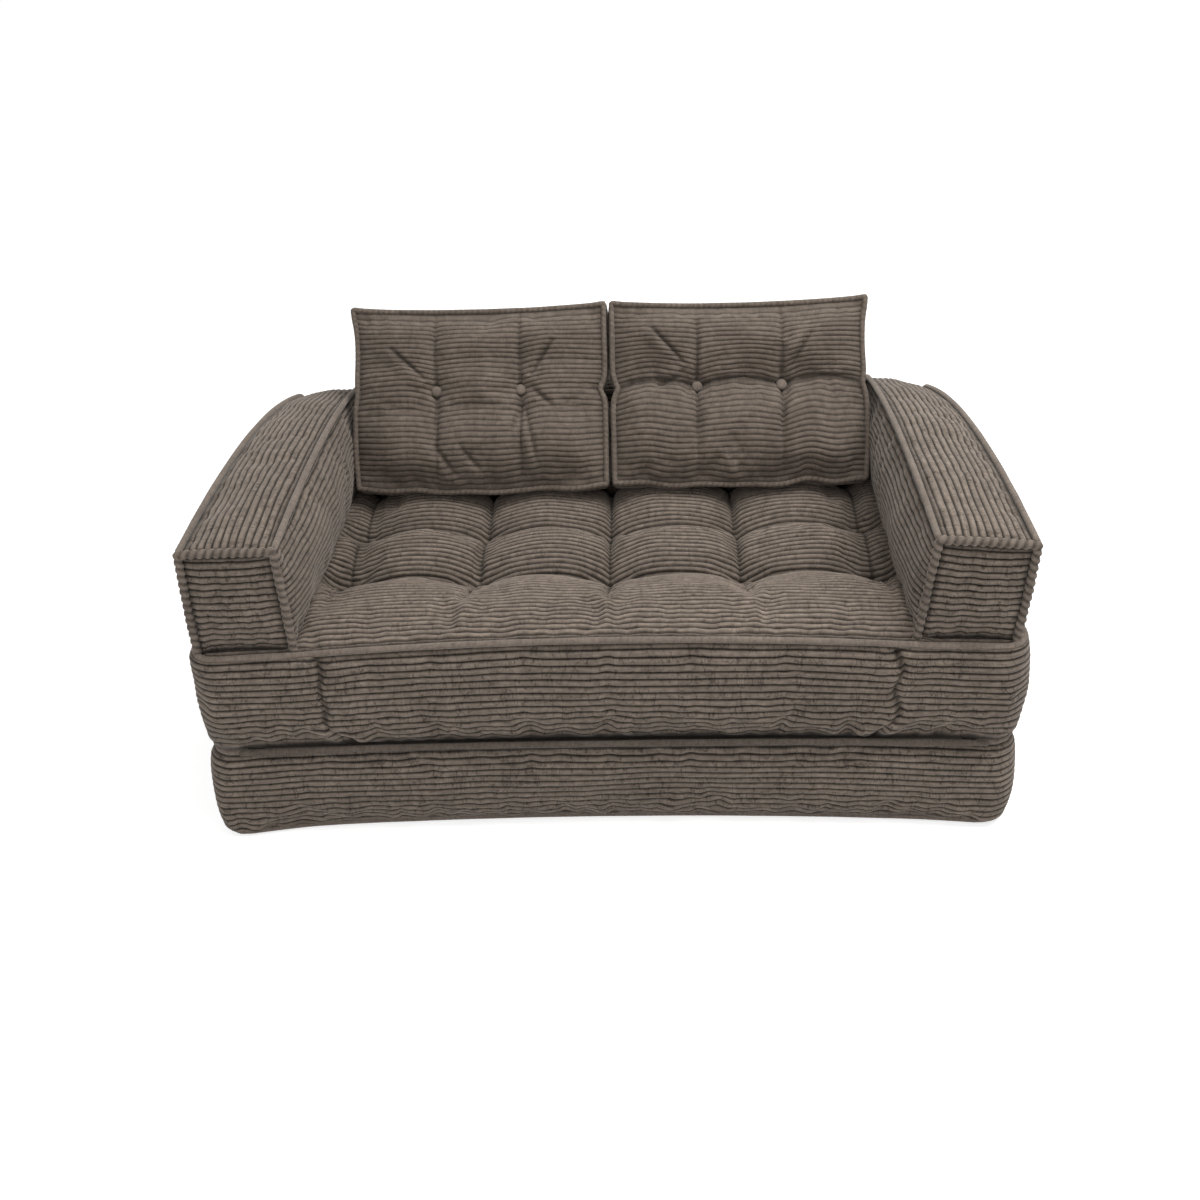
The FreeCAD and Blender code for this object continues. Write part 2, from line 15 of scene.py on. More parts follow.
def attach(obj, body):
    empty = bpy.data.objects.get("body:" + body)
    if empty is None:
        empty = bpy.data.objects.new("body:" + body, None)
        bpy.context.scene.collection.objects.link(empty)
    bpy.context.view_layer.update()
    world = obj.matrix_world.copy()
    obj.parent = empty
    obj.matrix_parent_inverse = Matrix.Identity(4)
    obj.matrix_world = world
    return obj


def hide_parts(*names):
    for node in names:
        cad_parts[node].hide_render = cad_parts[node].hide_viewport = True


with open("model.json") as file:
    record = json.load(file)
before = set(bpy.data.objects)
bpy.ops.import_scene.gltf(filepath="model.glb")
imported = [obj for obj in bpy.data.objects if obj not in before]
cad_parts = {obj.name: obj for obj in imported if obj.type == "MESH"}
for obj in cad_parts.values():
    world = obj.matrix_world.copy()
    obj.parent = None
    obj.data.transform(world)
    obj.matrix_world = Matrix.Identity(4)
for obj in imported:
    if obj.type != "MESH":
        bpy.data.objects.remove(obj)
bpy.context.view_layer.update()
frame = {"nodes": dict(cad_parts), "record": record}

scene = bpy.context.scene
scene.view_settings.view_transform = "Standard"

# %% [markdown]
# The camera comes first, because every later choice is judged through it. A standing person held it
# about 1.6 m up and tipped it down by 31 degrees, with a slight roll. A tracking helper could aim it, but
# a place and three turns say exactly how it was held, so its matrix is written from them.

# %% Camera
camera_place = Vector((0.0729, -2.3031, 1.6252))
pitch, roll, yaw = (math.radians(angle) for angle in (30.896, 2.301, 2.483))
camera_turn = (Matrix.Rotation(yaw, 4, "Z") @ Matrix.Rotation(math.pi / 2 - pitch, 4, "X")
               @ Matrix.Rotation(-roll, 4, "Z"))
camera_data = bpy.data.cameras.new("camera")
camera_data.sensor_width = 36.0
camera_data.lens = 38.0
camera = bpy.data.objects.new("camera", camera_data)
camera.matrix_world = Matrix.Translation(camera_place) @ camera_turn
scene.collection.objects.link(camera)
scene.camera = camera
print("camera at", tuple(camera_place))

# %% [markdown]
# Finishes, floor and world are networks of nodes. Every node could be made, set and linked line by line,
# but that hides the idea in many lines. One helper makes a node and fills its sockets with values or with
# other nodes' outputs, so each network below reads as a list of what goes into what.


# %% Helpers for nodes
def shader_node(tree, kind, sockets=None, **settings):
    """A node with its settings. A socket gets a value, or a link from another node's output."""
    made = tree.nodes.new("ShaderNode" + kind)
    for key, value in settings.items():
        setattr(made, key, value)
    for key, value in (sockets or {}).items():
        if isinstance(value, bpy.types.NodeSocket):
            tree.links.new(value, made.inputs[key])
        else:
            made.inputs[key].default_value = value
    return made


def combine(tree, operation, *values):
    return shader_node(tree, "Math", dict(enumerate(values)), operation=operation).outputs[0]


def new_material(name):
    made = bpy.data.materials.new(name)
    made.use_nodes = True
    made.node_tree.nodes.clear()
    return made, made.node_tree


def to_surface(tree, shader):
    shader_node(tree, "OutputMaterial", {"Surface": shader.outputs[0]})


print("materials from the frame", len(bpy.data.materials))

# %% [markdown]
# The sofa stands on a plain white ground with a soft shadow close to its base. More light would make the
# ground white, but would bleach the cloth too. So the floor is a pale diffuse sheet with a little glow that
# only the camera and reflections see: it reads as white and still takes the shadow. The world does the same.


# %% Floor and world
def seen_directly(tree):
    """One where the camera, a reflection or a view through glass meets the surface."""
    rays = shader_node(tree, "LightPath").outputs
    straight_or_mirrored = combine(tree, "MAXIMUM", rays["Is Camera Ray"], rays["Is Glossy Ray"])
    return combine(tree, "MAXIMUM", straight_or_mirrored, rays["Is Transmission Ray"])


floor_tone, floor_glow, room_light = 0.78, 0.675, 0.42
floor_material, tree = new_material("pale_floor")
sheet = shader_node(tree, "BsdfDiffuse", {"Color": (floor_tone,) * 3 + (1,)})
glow = shader_node(tree, "Emission", {"Color": (1, 1, 1, 1),
                                      "Strength": combine(tree, "MULTIPLY", seen_directly(tree), floor_glow)})
to_surface(tree, shader_node(tree, "AddShader", {0: sheet.outputs[0], 1: glow.outputs[0]}))

bpy.ops.mesh.primitive_plane_add(size=60, location=(0, 0, -0.0005))
floor = bpy.context.object
floor.name = "floor"
floor.data.materials.append(floor_material)

world = bpy.data.worlds.new("pale_room")
scene.world = world
world.use_nodes = True
tree = world.node_tree
level = shader_node(tree, "MapRange", {"Value": seen_directly(tree), "To Min": room_light, "To Max": 1.0})
sky = tree.nodes["Background"]
sky.inputs["Color"].default_value = (1, 1, 1, 1)
tree.links.new(level.outputs[0], sky.inputs["Strength"])
print("floor tone", floor_tone, "and world light", room_light)

# %% [markdown]
# The light on the sofa is wide and comes mostly from above. Point lamps or a sun would draw hard edges, so
# three large area lamps do it: a strong one above, and weaker ones in front and behind that keep the boxing
# and the back readable.


# %% Lamps
def soft_lamp(name, place, aim, size, power):
    lamp = bpy.data.lights.new(name, "AREA")
    lamp.size = size
    lamp.energy = power
    holder = bpy.data.objects.new(name, lamp)
    holder.location = place
    holder.rotation_euler = (Vector(aim) - Vector(place)).to_track_quat("-Z", "Y").to_euler()
    scene.collection.objects.link(holder)


soft_lamp("lamp_above", (1.2, -0.3, 3.2), (0.1, 0.0, 0.3), 2.2, 80)
soft_lamp("lamp_front", (-0.8, -3.2, 2.0), (0, 0, 0.3), 2.4, 26)
soft_lamp("lamp_back", (0.7, 3.2, 2.3), (0, 0, 0.3), 2.4, 24)
print("lamps", len(bpy.data.lights))

# %% [markdown]
# Corduroy is a pile cloth: rounded ribs with narrow, dark grooves between them, dull when seen straight
# on and paler at a glancing angle. A bump could fake the ribs, but at 12 to 16 mm they are wide enough to
# show in the outline, so they are real geometry. The finish adds what is smaller: painted groove shade from
# a stored rib height, which also carries painted shade beside seams and in creases and folds, nap streaks
# along the ribs, worn patches, thin breaks in the pile, a fine fuzz and a sheen. The streaks follow the
# panel's own UV, laid out in metres along its ribs.


# %% Corduroy
def corduroy(name, colour, groove, sheen, streak=0.24, breaks=0.45):
    """One colour, times painted shade from the rib height and each layer of wear."""
    made, tree = new_material(name)
    uv = shader_node(tree, "UVMap").outputs["UV"]

    def noise(stretch, scale, detail):
        fit = shader_node(tree, "Mapping", {"Vector": uv, "Scale": stretch}).outputs["Vector"]
        grain = shader_node(tree, "TexNoise", {"Vector": fit, "Scale": scale, "Detail": detail})
        return grain.outputs["Fac"]

    def shade(value, spread):
        fit = shader_node(tree, "MapRange", {"Value": value, "From Min": 0.25, "From Max": 0.75,
                                             "To Min": 1 - spread, "To Max": 1 + spread})
        return fit.outputs["Result"]

    def thin_lines(value, width, low):
        """Dark where a slow noise passes its middle value."""
        off_middle = combine(tree, "ABSOLUTE", combine(tree, "SUBTRACT", value, 0.5))
        fit = shader_node(tree, "MapRange", {"Value": off_middle, "From Max": width, "To Min": low})
        return fit.outputs["Result"]

    rib_height_and_painted_shade = shader_node(tree, "Attribute", attribute_name="rib").outputs["Fac"]
    ramp = shader_node(tree, "ValToRGB", {"Fac": rib_height_and_painted_shade})
    stops = ramp.color_ramp.elements
    # Painted shade: the low end of the ramp darkens the grooves and every place whose rib height was lowered.
    stops[0].color = (groove, groove, groove, 1)
    stops[1].position = 0.92
    stops[1].color = (1, 1, 1, 1)
    stops.new(0.55).color = (0.35 + 0.65 * groove,) * 3 + (1,)
    fuzz = noise((1, 1, 1), 900.0, 2)
    depth = ramp.outputs["Color"]
    for layer in (shade(noise((30, 240, 1), 1.0, 4), streak),
                  shade(noise((1, 1, 1), 7.0, 3), 0.12),
                  shade(noise((70, 75, 1), 1.0, 2), streak),
                  shade(noise((24, 14, 1), 1.0, 3), 0.12),
                  thin_lines(noise((60, 26, 1), 1.0, 2), 0.022, breaks),
                  shade(fuzz, 0.14)):
        depth = combine(tree, "MULTIPLY", depth, layer)
    tint = shader_node(tree, "Mix", {"Factor": 1.0, "A": (*colour, 1), "B": depth},
                       data_type="RGBA", blend_type="MULTIPLY")
    bump = shader_node(tree, "Bump", {"Strength": 0.35, "Distance": 0.0012, "Height": fuzz})
    cloth = shader_node(tree, "BsdfPrincipled", {
        "Base Color": tint.outputs["Result"], "Normal": bump.outputs["Normal"], "Roughness": 0.92,
        "Specular IOR Level": 0.12, "Sheen Weight": sheen, "Sheen Roughness": 0.42,
        "Sheen Tint": (0.92, 0.88, 0.83, 1)})
    to_surface(tree, cloth)
    return made


print("a corduroy finish has six layers of wear")

# %% The corduroy finishes
taupe = (0.203, 0.1645, 0.1335)
corduroy_cloth = corduroy("corduroy_cloth", taupe, 0.10, 0.34)
# Painted light: the tufts get a lighter copy of the corduroy, with paler grooves, making up for the shade
# that the pillows and arms cast on the seat's top.
tuft_cloth_painted_lighter = corduroy("tuft_cloth_painted_lighter", (0.226, 0.183, 0.1485), 0.17, 0.40, breaks=0.65)
pillow_cloth = corduroy("pillow_cloth", (0.168, 0.1355, 0.1100), 0.46, 0.32, 0.18, 0.78)
cord_cloth = corduroy("cord_cloth", (0.200, 0.163, 0.134), 0.35, 0.34, 0.16, 0.8)
# Painted shade: a darker copy of the cord cloth for the fold cord, which lies in shade under the seat's
# boxing.
fold_cord_painted_shade_cloth = corduroy("fold_cord_painted_shade_cloth", (0.115, 0.094, 0.077), 0.35, 0.20, 0.16, 0.8)
print("corduroy in", taupe)

# %% [markdown]
# The plain cloths and the zip metal are small but show from behind and when a piece is lifted. One flat
# colour would look unfinished, and a picture of a weave would not scale. So the tapes and the underside get
# two crossed waves, and the sliders a grainy dark metal. The CAD nodes that stay in view get these finishes.


# %% Plain weave and metal
def two_tones(tree, value, low, high):
    ramp = shader_node(tree, "ValToRGB", {"Fac": value})
    for stop, tone in zip(ramp.color_ramp.elements, (low, high)):
        stop.color = (*tone, 1)
    return ramp.outputs["Color"]


def plain_weave(name, colour, threads):
    made, tree = new_material(name)
    place = shader_node(tree, "TexCoord").outputs["Object"]
    waves = [shader_node(tree, "TexWave", {"Vector": place, "Scale": threads, "Distortion": 0.6},
                         bands_direction=way).outputs["Fac"] for way in ("X", "Y")]
    weave = combine(tree, "MULTIPLY", *waves)
    tone = two_tones(tree, weave, [0.65 * value for value in colour], [1.25 * value for value in colour])
    bump = shader_node(tree, "Bump", {"Strength": 0.3, "Distance": 0.0005, "Height": weave})
    to_surface(tree, shader_node(tree, "BsdfPrincipled", {
        "Base Color": tone, "Normal": bump.outputs["Normal"], "Roughness": 0.9, "Specular IOR Level": 0.2}))
    return made


def dark_metal(name):
    made, tree = new_material(name)
    place = shader_node(tree, "TexCoord").outputs["Object"]
    grain = shader_node(tree, "TexNoise", {"Vector": place, "Scale": 260.0}).outputs["Fac"]
    tone = two_tones(tree, grain, (0.07, 0.066, 0.06), (0.16, 0.15, 0.14))
    rough = two_tones(tree, grain, (0.30,) * 3, (0.50,) * 3)
    to_surface(tree, shader_node(tree, "BsdfPrincipled", {
        "Base Color": tone, "Roughness": rough, "Metallic": 0.85}))
    return made


print("materials so far", len(bpy.data.materials))

# %% Finishes on the CAD nodes
woven_tape = plain_weave("woven_tape_weave", (0.075, 0.064, 0.055), 520)
finish_of = {"under_cloth": plain_weave("under_cloth_weave", (0.030, 0.027, 0.024), 420),
             "woven_tape": woven_tape,
             "foam": woven_tape,
             "zip_tape": plain_weave("zip_tape_weave", (0.070, 0.060, 0.052), 700),
             "zip_metal": dark_metal("zip_metal_dark"),
             "corduroy": corduroy_cloth,
             "corduroy_piping": cord_cloth}
for part in frame["record"]["subparts"]:
    mesh = frame["nodes"][part["node"]].data
    mesh.materials.clear()
    mesh.materials.append(finish_of[part["material_slot"]])

# %% [markdown]
# Every cushion is cut from panels, so every panel is a grid of points: rows across the ribs, columns
# along them. Subdivision could refine it, but would not keep six rows to a rib. So a coarse grid, which is
# quick to simulate, is refined by a smooth curve through its points. Low, wide random swells come from
# the same curve through a few seeded numbers: the cloth looks handled and comes out the same each time.


# %% Smooth curves through a grid
def smooth_between(grid, count, axis, closed=False, shares=None):
    """A smooth curve through the points along one axis, read at even places or at given shares."""
    size = grid.shape[axis]
    if shares is not None:
        place = shares * (size - 1)
    elif closed:
        place = np.arange(count) * size / count
    else:
        place = np.linspace(0, size - 1, count)
    first = np.floor(place).astype(int)
    if closed:
        longer = np.take(grid, np.arange(-1, size + 2) % size, axis)
    else:
        first = np.clip(first, 0, size - 2)
        before = 2 * np.take(grid, [0], axis) - np.take(grid, [1], axis)
        after = 2 * np.take(grid, [size - 1], axis) - np.take(grid, [size - 2], axis)
        longer = np.concatenate([before, grid, after], axis)
    shape = [1] * grid.ndim
    shape[axis] = count
    share = (place - first).reshape(shape)
    a, b, c, d = (np.take(longer, first + offset, axis) for offset in range(4))
    return b + 0.5 * share * (c - a + share * (2 * a - 5 * b + 4 * c - d
                                               + share * (3 * (b - c) + d - a)))


def swells(rows, cols, knots, seed):
    """Smooth random values from about -1 to 1 over a grid."""
    values = np.random.default_rng(seed).uniform(-1, 1, (knots[0] + 1, knots[1] + 1))
    return smooth_between(smooth_between(values, rows, 0), cols, 1)


print("swells from", swells(9, 9, (3, 3), 1).min().round(2), "to", swells(9, 9, (3, 3), 1).max().round(2))

# %% [markdown]
# Padded cloth gets its shape from being blown up against its seams. Sculpting could imitate that, but
# only by hand, one tuft after another. Instead the panels of a cushion are welded into one closed mesh,
# the seams and tufts are pinned, the cloth gets a little spare size so that it puckers, and Blender's
# Cloth inflates it for 20 frames. The result is read back into the panel grids, with each move capped,
# and the helper mesh is deleted.

# %% Sew a blank from panels
weld_digits = 5


def quads_of(index):
    """The four corners of each cell in a grid of point numbers."""
    return np.stack([index[:-1, :-1], index[:-1, 1:], index[1:, 1:], index[1:, :-1]], -1).reshape(-1, 4)


def edges_pinned(grid, closed=False):
    mask = np.zeros(grid.shape[:2], bool)
    mask[[0, -1]] = True
    if not closed:
        mask[:, [0, -1]] = True
    return mask


def sewn_blank(name, panels, pinned):
    """One closed mesh with its pinned points in a group, its points, and each panel's point numbers."""
    points = np.concatenate([grid.reshape(-1, 3) for grid in panels.values()])
    unique, weld = np.unique(np.round(points, weld_digits), axis=0, return_inverse=True)
    ends = np.cumsum([grid.shape[0] * grid.shape[1] for grid in panels.values()])
    runs = np.split(weld.reshape(-1), ends[:-1])
    numbers = {key: run.reshape(panels[key].shape[:2]) for key, run in zip(panels, runs)}
    faces = [quad for index in numbers.values() for quad in quads_of(index).tolist() if len(set(quad)) == 4]
    mesh = bpy.data.meshes.new(name + "_blank")
    mesh.from_pydata(unique.tolist(), [], faces)
    shell = bmesh.new()
    shell.from_mesh(mesh)
    bmesh.ops.recalc_face_normals(shell, faces=shell.faces)
    shell.to_mesh(mesh)
    shell.free()
    blank = bpy.data.objects.new(name + "_blank", mesh)
    scene.collection.objects.link(blank)
    held = np.unique(np.concatenate([numbers[key][pinned[key]] for key in panels]))
    blank.vertex_groups.new(name="seams").add(held.tolist(), 1.0, "REPLACE")
    return blank, unique, numbers


print("points are welded if they agree to", weld_digits, "digits")


# %% Blow it up
def inflate(name, panels, pinned, pressure, spare, cap, frames=20):
    """Panels and masks of pinned points by name. The grids are changed in place."""
    blank, unique, numbers = sewn_blank(name, panels, pinned)
    cloth = blank.modifiers.new("cloth", "CLOTH")
    cloth.settings.quality = 6
    cloth.settings.use_pressure = True
    cloth.settings.uniform_pressure_force = pressure
    cloth.settings.effector_weights.gravity = 0
    cloth.settings.vertex_group_mass = "seams"
    cloth.settings.shrink_min = -spare
    cloth.settings.bending_stiffness = 0.3
    cloth.collision_settings.use_collision = False
    cloth.point_cache.frame_start = 1
    cloth.point_cache.frame_end = frames
    for number in range(1, frames + 1):
        scene.frame_set(number)
    evaluated = blank.evaluated_get(bpy.context.evaluated_depsgraph_get())
    moved = np.zeros(len(unique) * 3)
    evaluated.data.vertices.foreach_get("co", moved)
    shift = moved.reshape(-1, 3) - unique
    length = np.linalg.norm(shift, axis=1, keepdims=True)
    mesh = blank.data
    bpy.data.objects.remove(blank)
    bpy.data.meshes.remove(mesh)
    scene.frame_set(1)
    for key, index in numbers.items():
        most = cap[key] if isinstance(cap, dict) else cap
        panels[key] += (shift * np.minimum(1.0, most / np.maximum(length, 1e-9)))[index]
    print(name, len(unique), "points, moved up to", round(float(length.max()) * 1000, 1), "mm")



# %% [markdown]
# A blown-up grid becomes a corduroy panel: it is refined, pushed by the folds and stitched lines that the
# real cover shows, and lifted into ribs along its normals. A Displace modifier could lift ribs from a
# texture, but they would not follow the panel's own rows. Here ribs fade out at the seams, where sewing
# presses the pile flat, and they wander a little. The rib height is stored on the points for the finish,
# lowered as painted shade next to the seams and wherever a dark function puts creases and folds.


# %% Directions and ramps
def unit(vectors):
    return vectors / np.maximum(np.linalg.norm(vectors, axis=-1, keepdims=True), 1e-9)


def outward(grid, middle, closed=False):
    """Normals of a grid of points, turned away from the cushion's middle."""
    if closed:
        along = np.roll(grid, -1, 1) - np.roll(grid, 1, 1)
    else:
        along = np.gradient(grid, axis=1)
    normal = unit(np.cross(along, np.gradient(grid, axis=0)))
    turned = np.sum(normal * (grid - middle)) < 0
    return (-normal, True) if turned else (normal, False)


def ramp_up(value, low, high):
    share = np.clip((value - low) / (high - low), 0, 1)
    return share * share * (3 - 2 * share)


def near(off, width, power=2):
    """One on a line, fading out to both sides of it."""
    return np.exp(-(np.abs(off) / width) ** power)


print("a line is down to", near(1.0, 1.0).round(2), "at its width")

# %% Ribs on a panel
rib_pitch = 0.0135
rib_depth = 0.0042
rib_power = 0.38
rows_per_rib = 6


def lengths_of(grid):
    along = np.linalg.norm(np.diff(grid, axis=1), axis=2).sum(1).max()
    across = np.linalg.norm(np.diff(grid, axis=0), axis=2).sum(0).max()
    return along, across


def mostly_front(y):
    """The cloth bunches most along the front, where people sit down over it."""
    return 1 - 0.75 * ramp_up(y, -0.42, -0.30)


def rib_wander(along, ribs, v, y, bunch, seed):
    """How far each point of a rib slips to the side: a slow sway, and short breaks low on the front."""
    shape = v.shape
    shift = 0.0017 * swells(*shape, (max(2, ribs // 3), max(2, round(along / 0.11))), seed)
    if bunch:
        breaks = swells(*shape, (max(2, ribs // 2), max(2, round(along / 0.022))), seed + 20)
        shift = shift + bunch * mostly_front(y) * np.tanh(3 * breaks) * near(v, 0.34)
    return shift


print("ribs of", rib_pitch * 1000, "mm")


# %% Make a corduroy panel
def corduroy_panel(grid, middle, step=0.008, closed=False, shape=None, seed=1, depth=rib_depth,
                   bunch=0.0, shares=None, pitch=rib_pitch, drift=None, dark=None, seam=0.85,
                   hem_ribs=0.9, power=rib_power):
    """The points, faces, UV and rib heights, with their painted shade, of one ribbed panel."""
    if closed:
        grid = grid[:, :-1]
    along, across = lengths_of(grid)
    ribs = max(2, round(across / pitch))
    rows = ribs * rows_per_rib + 1
    cols = len(shares) if shares is not None else max(4, round(along / step)) + 1
    fine = smooth_between(smooth_between(grid, rows, 0), cols, 1, closed, shares)
    if shares is None:
        shares = np.linspace(0, 1, cols, endpoint=not closed)
    u = shares[None] * np.ones((rows, 1))
    v = np.linspace(0, 1, rows)[:, None] * np.ones((1, cols))
    to_seam = np.minimum(v, 1 - v) * across
    if not closed:
        to_seam = np.minimum(to_seam, np.minimum(u, 1 - u) * along)
    normal, turned = outward(fine, middle, closed)
    if shape is not None:
        push = shape(u, v, *np.moveaxis(fine, 2, 0)) * ramp_up(to_seam, 0.0, 0.018)
        fine = fine + normal * push[..., None]
        normal, turned = outward(fine, middle, closed)
    hem = ramp_up(np.minimum(v, 1 - v) * ribs, 0.0, hem_ribs)
    place = np.moveaxis(fine, 2, 0)
    shadow = 0.0 if dark is None else dark(u, v, *place)
    rise = 0.0 if drift is None else drift(u, v, *place) * hem
    across_way = unit(np.gradient(fine, axis=0))
    wander = rib_wander(along, ribs, v, place[1], bunch, seed) * hem
    fine = fine + across_way * wander[..., None]
    fine = fine + np.multiply.outer(rise, unit(across_way.mean((0, 1))))
    height = np.abs(np.sin(np.pi * v * ribs)) ** power
    lift = depth * (1 + 0.22 * swells(rows, cols, (ribs, max(2, round(along / 0.06))), seed + 50))
    fine = fine + normal * (lift * (height - 0.75) * hem)[..., None]
    # Painted shade: the rib height is lowered next to the seams by the share seam, and by the dark function's
    # shadow, so the finish darkens there.
    height = height * (1 - seam + seam * ramp_up(to_seam, 0.003, 0.012)) * (1 - shadow)
    if closed:
        fine, height, v = (np.concatenate([values, values[:, :1]], 1) for values in (fine, height, v))
        u = np.concatenate([u, np.ones((rows, 1))], 1)
    quads = quads_of(np.arange(u.size).reshape(u.shape))
    if turned:
        quads = quads[:, ::-1]
    uv = np.stack([u * along + seed, v * across + 0.37 * seed], -1).reshape(-1, 2)
    return fine.reshape(-1, 3), quads, uv, height.reshape(-1)


print("a panel has", rows_per_rib, "rows to a rib")


# %% Join panels into a piece
def make_piece(name, panels, finish, body, hides):
    points, quads, uv, height = zip(*panels)
    starts = np.cumsum([0] + [len(part) for part in points[:-1]])
    quads = np.concatenate([part + start for part, start in zip(quads, starts)])
    mesh = bpy.data.meshes.new(name)
    mesh.from_pydata(np.concatenate(points).tolist(), [], quads.tolist())
    corner = np.zeros(len(mesh.loops), int)
    mesh.loops.foreach_get("vertex_index", corner)
    by_corner = np.concatenate(uv)[corner].reshape(-1)
    mesh.uv_layers.new(name="ribs_in_metres").data.foreach_set("uv", by_corner)
    mesh.attributes.new("rib", "FLOAT", "POINT").data.foreach_set("value", np.concatenate(height))
    mesh.polygons.foreach_set("use_smooth", np.ones(len(mesh.polygons), bool))
    mesh.materials.append(finish)
    piece = bpy.data.objects.new(name, mesh)
    scene.collection.objects.link(piece)
    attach(piece, body)
    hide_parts(*hides)
    print(name, len(quads) * 2, "triangles")


# %% [markdown]
# Both layers share one plan: a rectangle of 1.46 by 0.88 m with rounded corners and sides drawn in a
# little. A rounded box with a bevel could be cut from it, but its points would not lie on the seams. So
# the grid lines run through the tuft creases, and a crease can be pinned line by line. The sides are one
# closed band round the plan, and the top fills the plan between its four edges.

# %% The plan of the two layers
half_width, half_depth, plan_middle = 0.730, 0.440, 0.0035
front_line, rear_line = plan_middle - half_depth, plan_middle + half_depth
corner_radius = 0.045
tuft_pitch = 0.2588
arm_inside = 0.572
row_a, row_b, row_c, rear_shelf = -0.1495, 0.0335, 0.2735, 0.3185
seat_level, base_level, seat_low = 0.405, 0.200, 0.204
turn_in = corner_radius * (1 - math.sqrt(0.5))
plan_step = 0.0185


def stops_to_grid(stops, step):
    runs = [np.linspace(a, b, max(2, round((b - a) / step)) + 1)[:-1] for a, b in zip(stops, stops[1:])]
    return np.concatenate(runs + [[stops[-1]]])


tuft_columns = [number * tuft_pitch for number in range(-2, 3)]
crease_stops = [-half_width + turn_in, *tuft_columns, half_width - turn_in]
plan_x = stops_to_grid(crease_stops, plan_step)
depth_stops = [front_line + turn_in, row_a, row_b, row_c, rear_shelf, rear_line - turn_in]
plan_y = stops_to_grid(depth_stops, plan_step)
print("plan grid", len(plan_x), "by", len(plan_y))


# %% Edges of the plan
def drawn_side(place, half, sag):
    """How far in from a straight side the seam lies, with the turn into each corner."""
    reach = np.abs(place) - (half - corner_radius)
    turn = corner_radius - np.sqrt(np.maximum(corner_radius ** 2 - np.maximum(reach, 0) ** 2, 0))
    share = np.clip(np.abs(place) / (half - corner_radius), 0, 1)
    return turn + sag * (1 - share ** 2)


def plan_edges(sag, inset=0.0, rear_sag=None):
    """The four edges of the plan, front, right, rear and left, as grid rows."""
    rear_sag = sag if rear_sag is None else rear_sag
    front = np.stack([plan_x, front_line + inset + drawn_side(plan_x, half_width, sag)], 1)
    rear = np.stack([plan_x, rear_line - inset - drawn_side(plan_x, half_width, rear_sag)], 1)
    right = np.stack([half_width - inset - drawn_side(plan_y - plan_middle, half_depth, sag), plan_y], 1)
    left = right * [-1, 1]
    for edge, end in ((right, -1), (left, 0)):
        edge[0] = front[end]
        edge[-1] = rear[end]
    return front, right, rear, left


print("straight front edge has", len(plan_edges(0.0)[0]), "points")


# %% Rings and fills
def ring_round(front, right, rear, left):
    """One closed line round four edges, from the middle of the third one."""
    ring = np.concatenate([front[:-1], right[:-1], rear[:0:-1], left[:0:-1]])
    ring = np.roll(ring, len(rear) // 2 + len(left), axis=0)
    return np.concatenate([ring, ring[:1]])


def fill_between(front, right, rear, left, x, y):
    """Points inside four edges, spaced as x and y are."""
    a = ((x - x[0]) / (x[-1] - x[0]))[None, :, None]
    b = ((y - y[0]) / (y[-1] - y[0]))[:, None, None]
    sides = (1 - a) * left[:, None] + a * right[:, None]
    ends = (1 - b) * front[None] + b * rear[None]
    corners = ((1 - a) * (1 - b) * front[0] + a * (1 - b) * front[-1]
               + (1 - a) * b * rear[0] + a * b * rear[-1])
    return sides + ends - corners


def raised(flat, height):
    """Points of a plan at one height, or each at its own."""
    return np.concatenate([flat, np.broadcast_to(height, flat.shape[:-1])[..., None]], -1)


print("a ring round the plan has", len(ring_round(*plan_edges(0.0))), "points")


# %% Ears, rises and boxing
def flared(flat, left=0.014, right=0.006, ahead_share=0.15):
    """The front corners are pulled out into soft ears, the left one more than the right."""
    flat = np.array(flat)
    for sign, amount in ((-1, left), (1, right)):
        off = np.hypot(flat[..., 0] - sign * half_width, flat[..., 1] - front_line)
        flat += (amount * near(off, 0.10))[..., None] * [sign, -ahead_share]
    return flat


def front_rise(flat, middle, corner):
    """How much higher the front edge lies in the middle, and at its corners."""
    x, y = flat[..., 0], flat[..., 1]
    ahead = 1 - ramp_up(y, front_line, front_line + 0.30)
    share = np.clip(np.abs(x) / 0.72, 0, 1)
    return ahead * (middle * np.clip(1 - (share / 0.78) ** 2, 0, 1) + corner * share ** 6)


def side_band(low_ring, high_ring, low, high, bulge, rows=18):
    """The boxing: a closed band that swells between its lower and upper seam."""
    v = np.linspace(0, 1, rows)[:, None, None]
    low = np.broadcast_to(low, len(low_ring))[None, :, None]
    high = np.broadcast_to(high, len(high_ring))[None, :, None]
    flat = (1 - v) * low_ring[None] + v * high_ring[None]
    ring = high_ring[:-1]
    heading = unit(np.roll(ring, -1, 0) - np.roll(ring, 1, 0))
    out = np.stack([heading[:, 1], -heading[:, 0]], 1)
    out = np.concatenate([out, out[:1]])
    flat = flat + out[None] * bulge * (4 * v * (1 - v)) ** 0.32
    return raised(flat, (low + (high - low) * v)[..., 0])


layer_bulge = 0.017
print("boxing swells by", layer_bulge * 1000, "mm")

# %% [markdown]
# The seat's top is a front roll and two rows of tufts, sewn down along creases and at small covered
# buttons. The creases that run from front to rear fade into the roll. Under the arms the top lies flat.
# Pulling down the buttons in a simulation alone would leave the tufts' shape to chance. So their height is
# written as a formula over the plan, and the simulation then fills out each tuft.


# %% The height of the tufts
def tuft_profile(y, start, end, crest, top, rise, fall, power=1.6):
    """From crease to crease: a long even rise to a crest, then a short fall."""
    share = (y - start) / (end - start)
    ahead_of = np.clip((crest - share) / crest, 0, 1)
    behind_it = np.clip((share - crest) / (1 - crest), 0, 1)
    return top - rise * ahead_of ** power - fall * behind_it ** 2


def before_shelf(y):
    """One on the tufts, fading out on the flat strip behind them."""
    return 1 - ramp_up(y, row_c, rear_shelf)


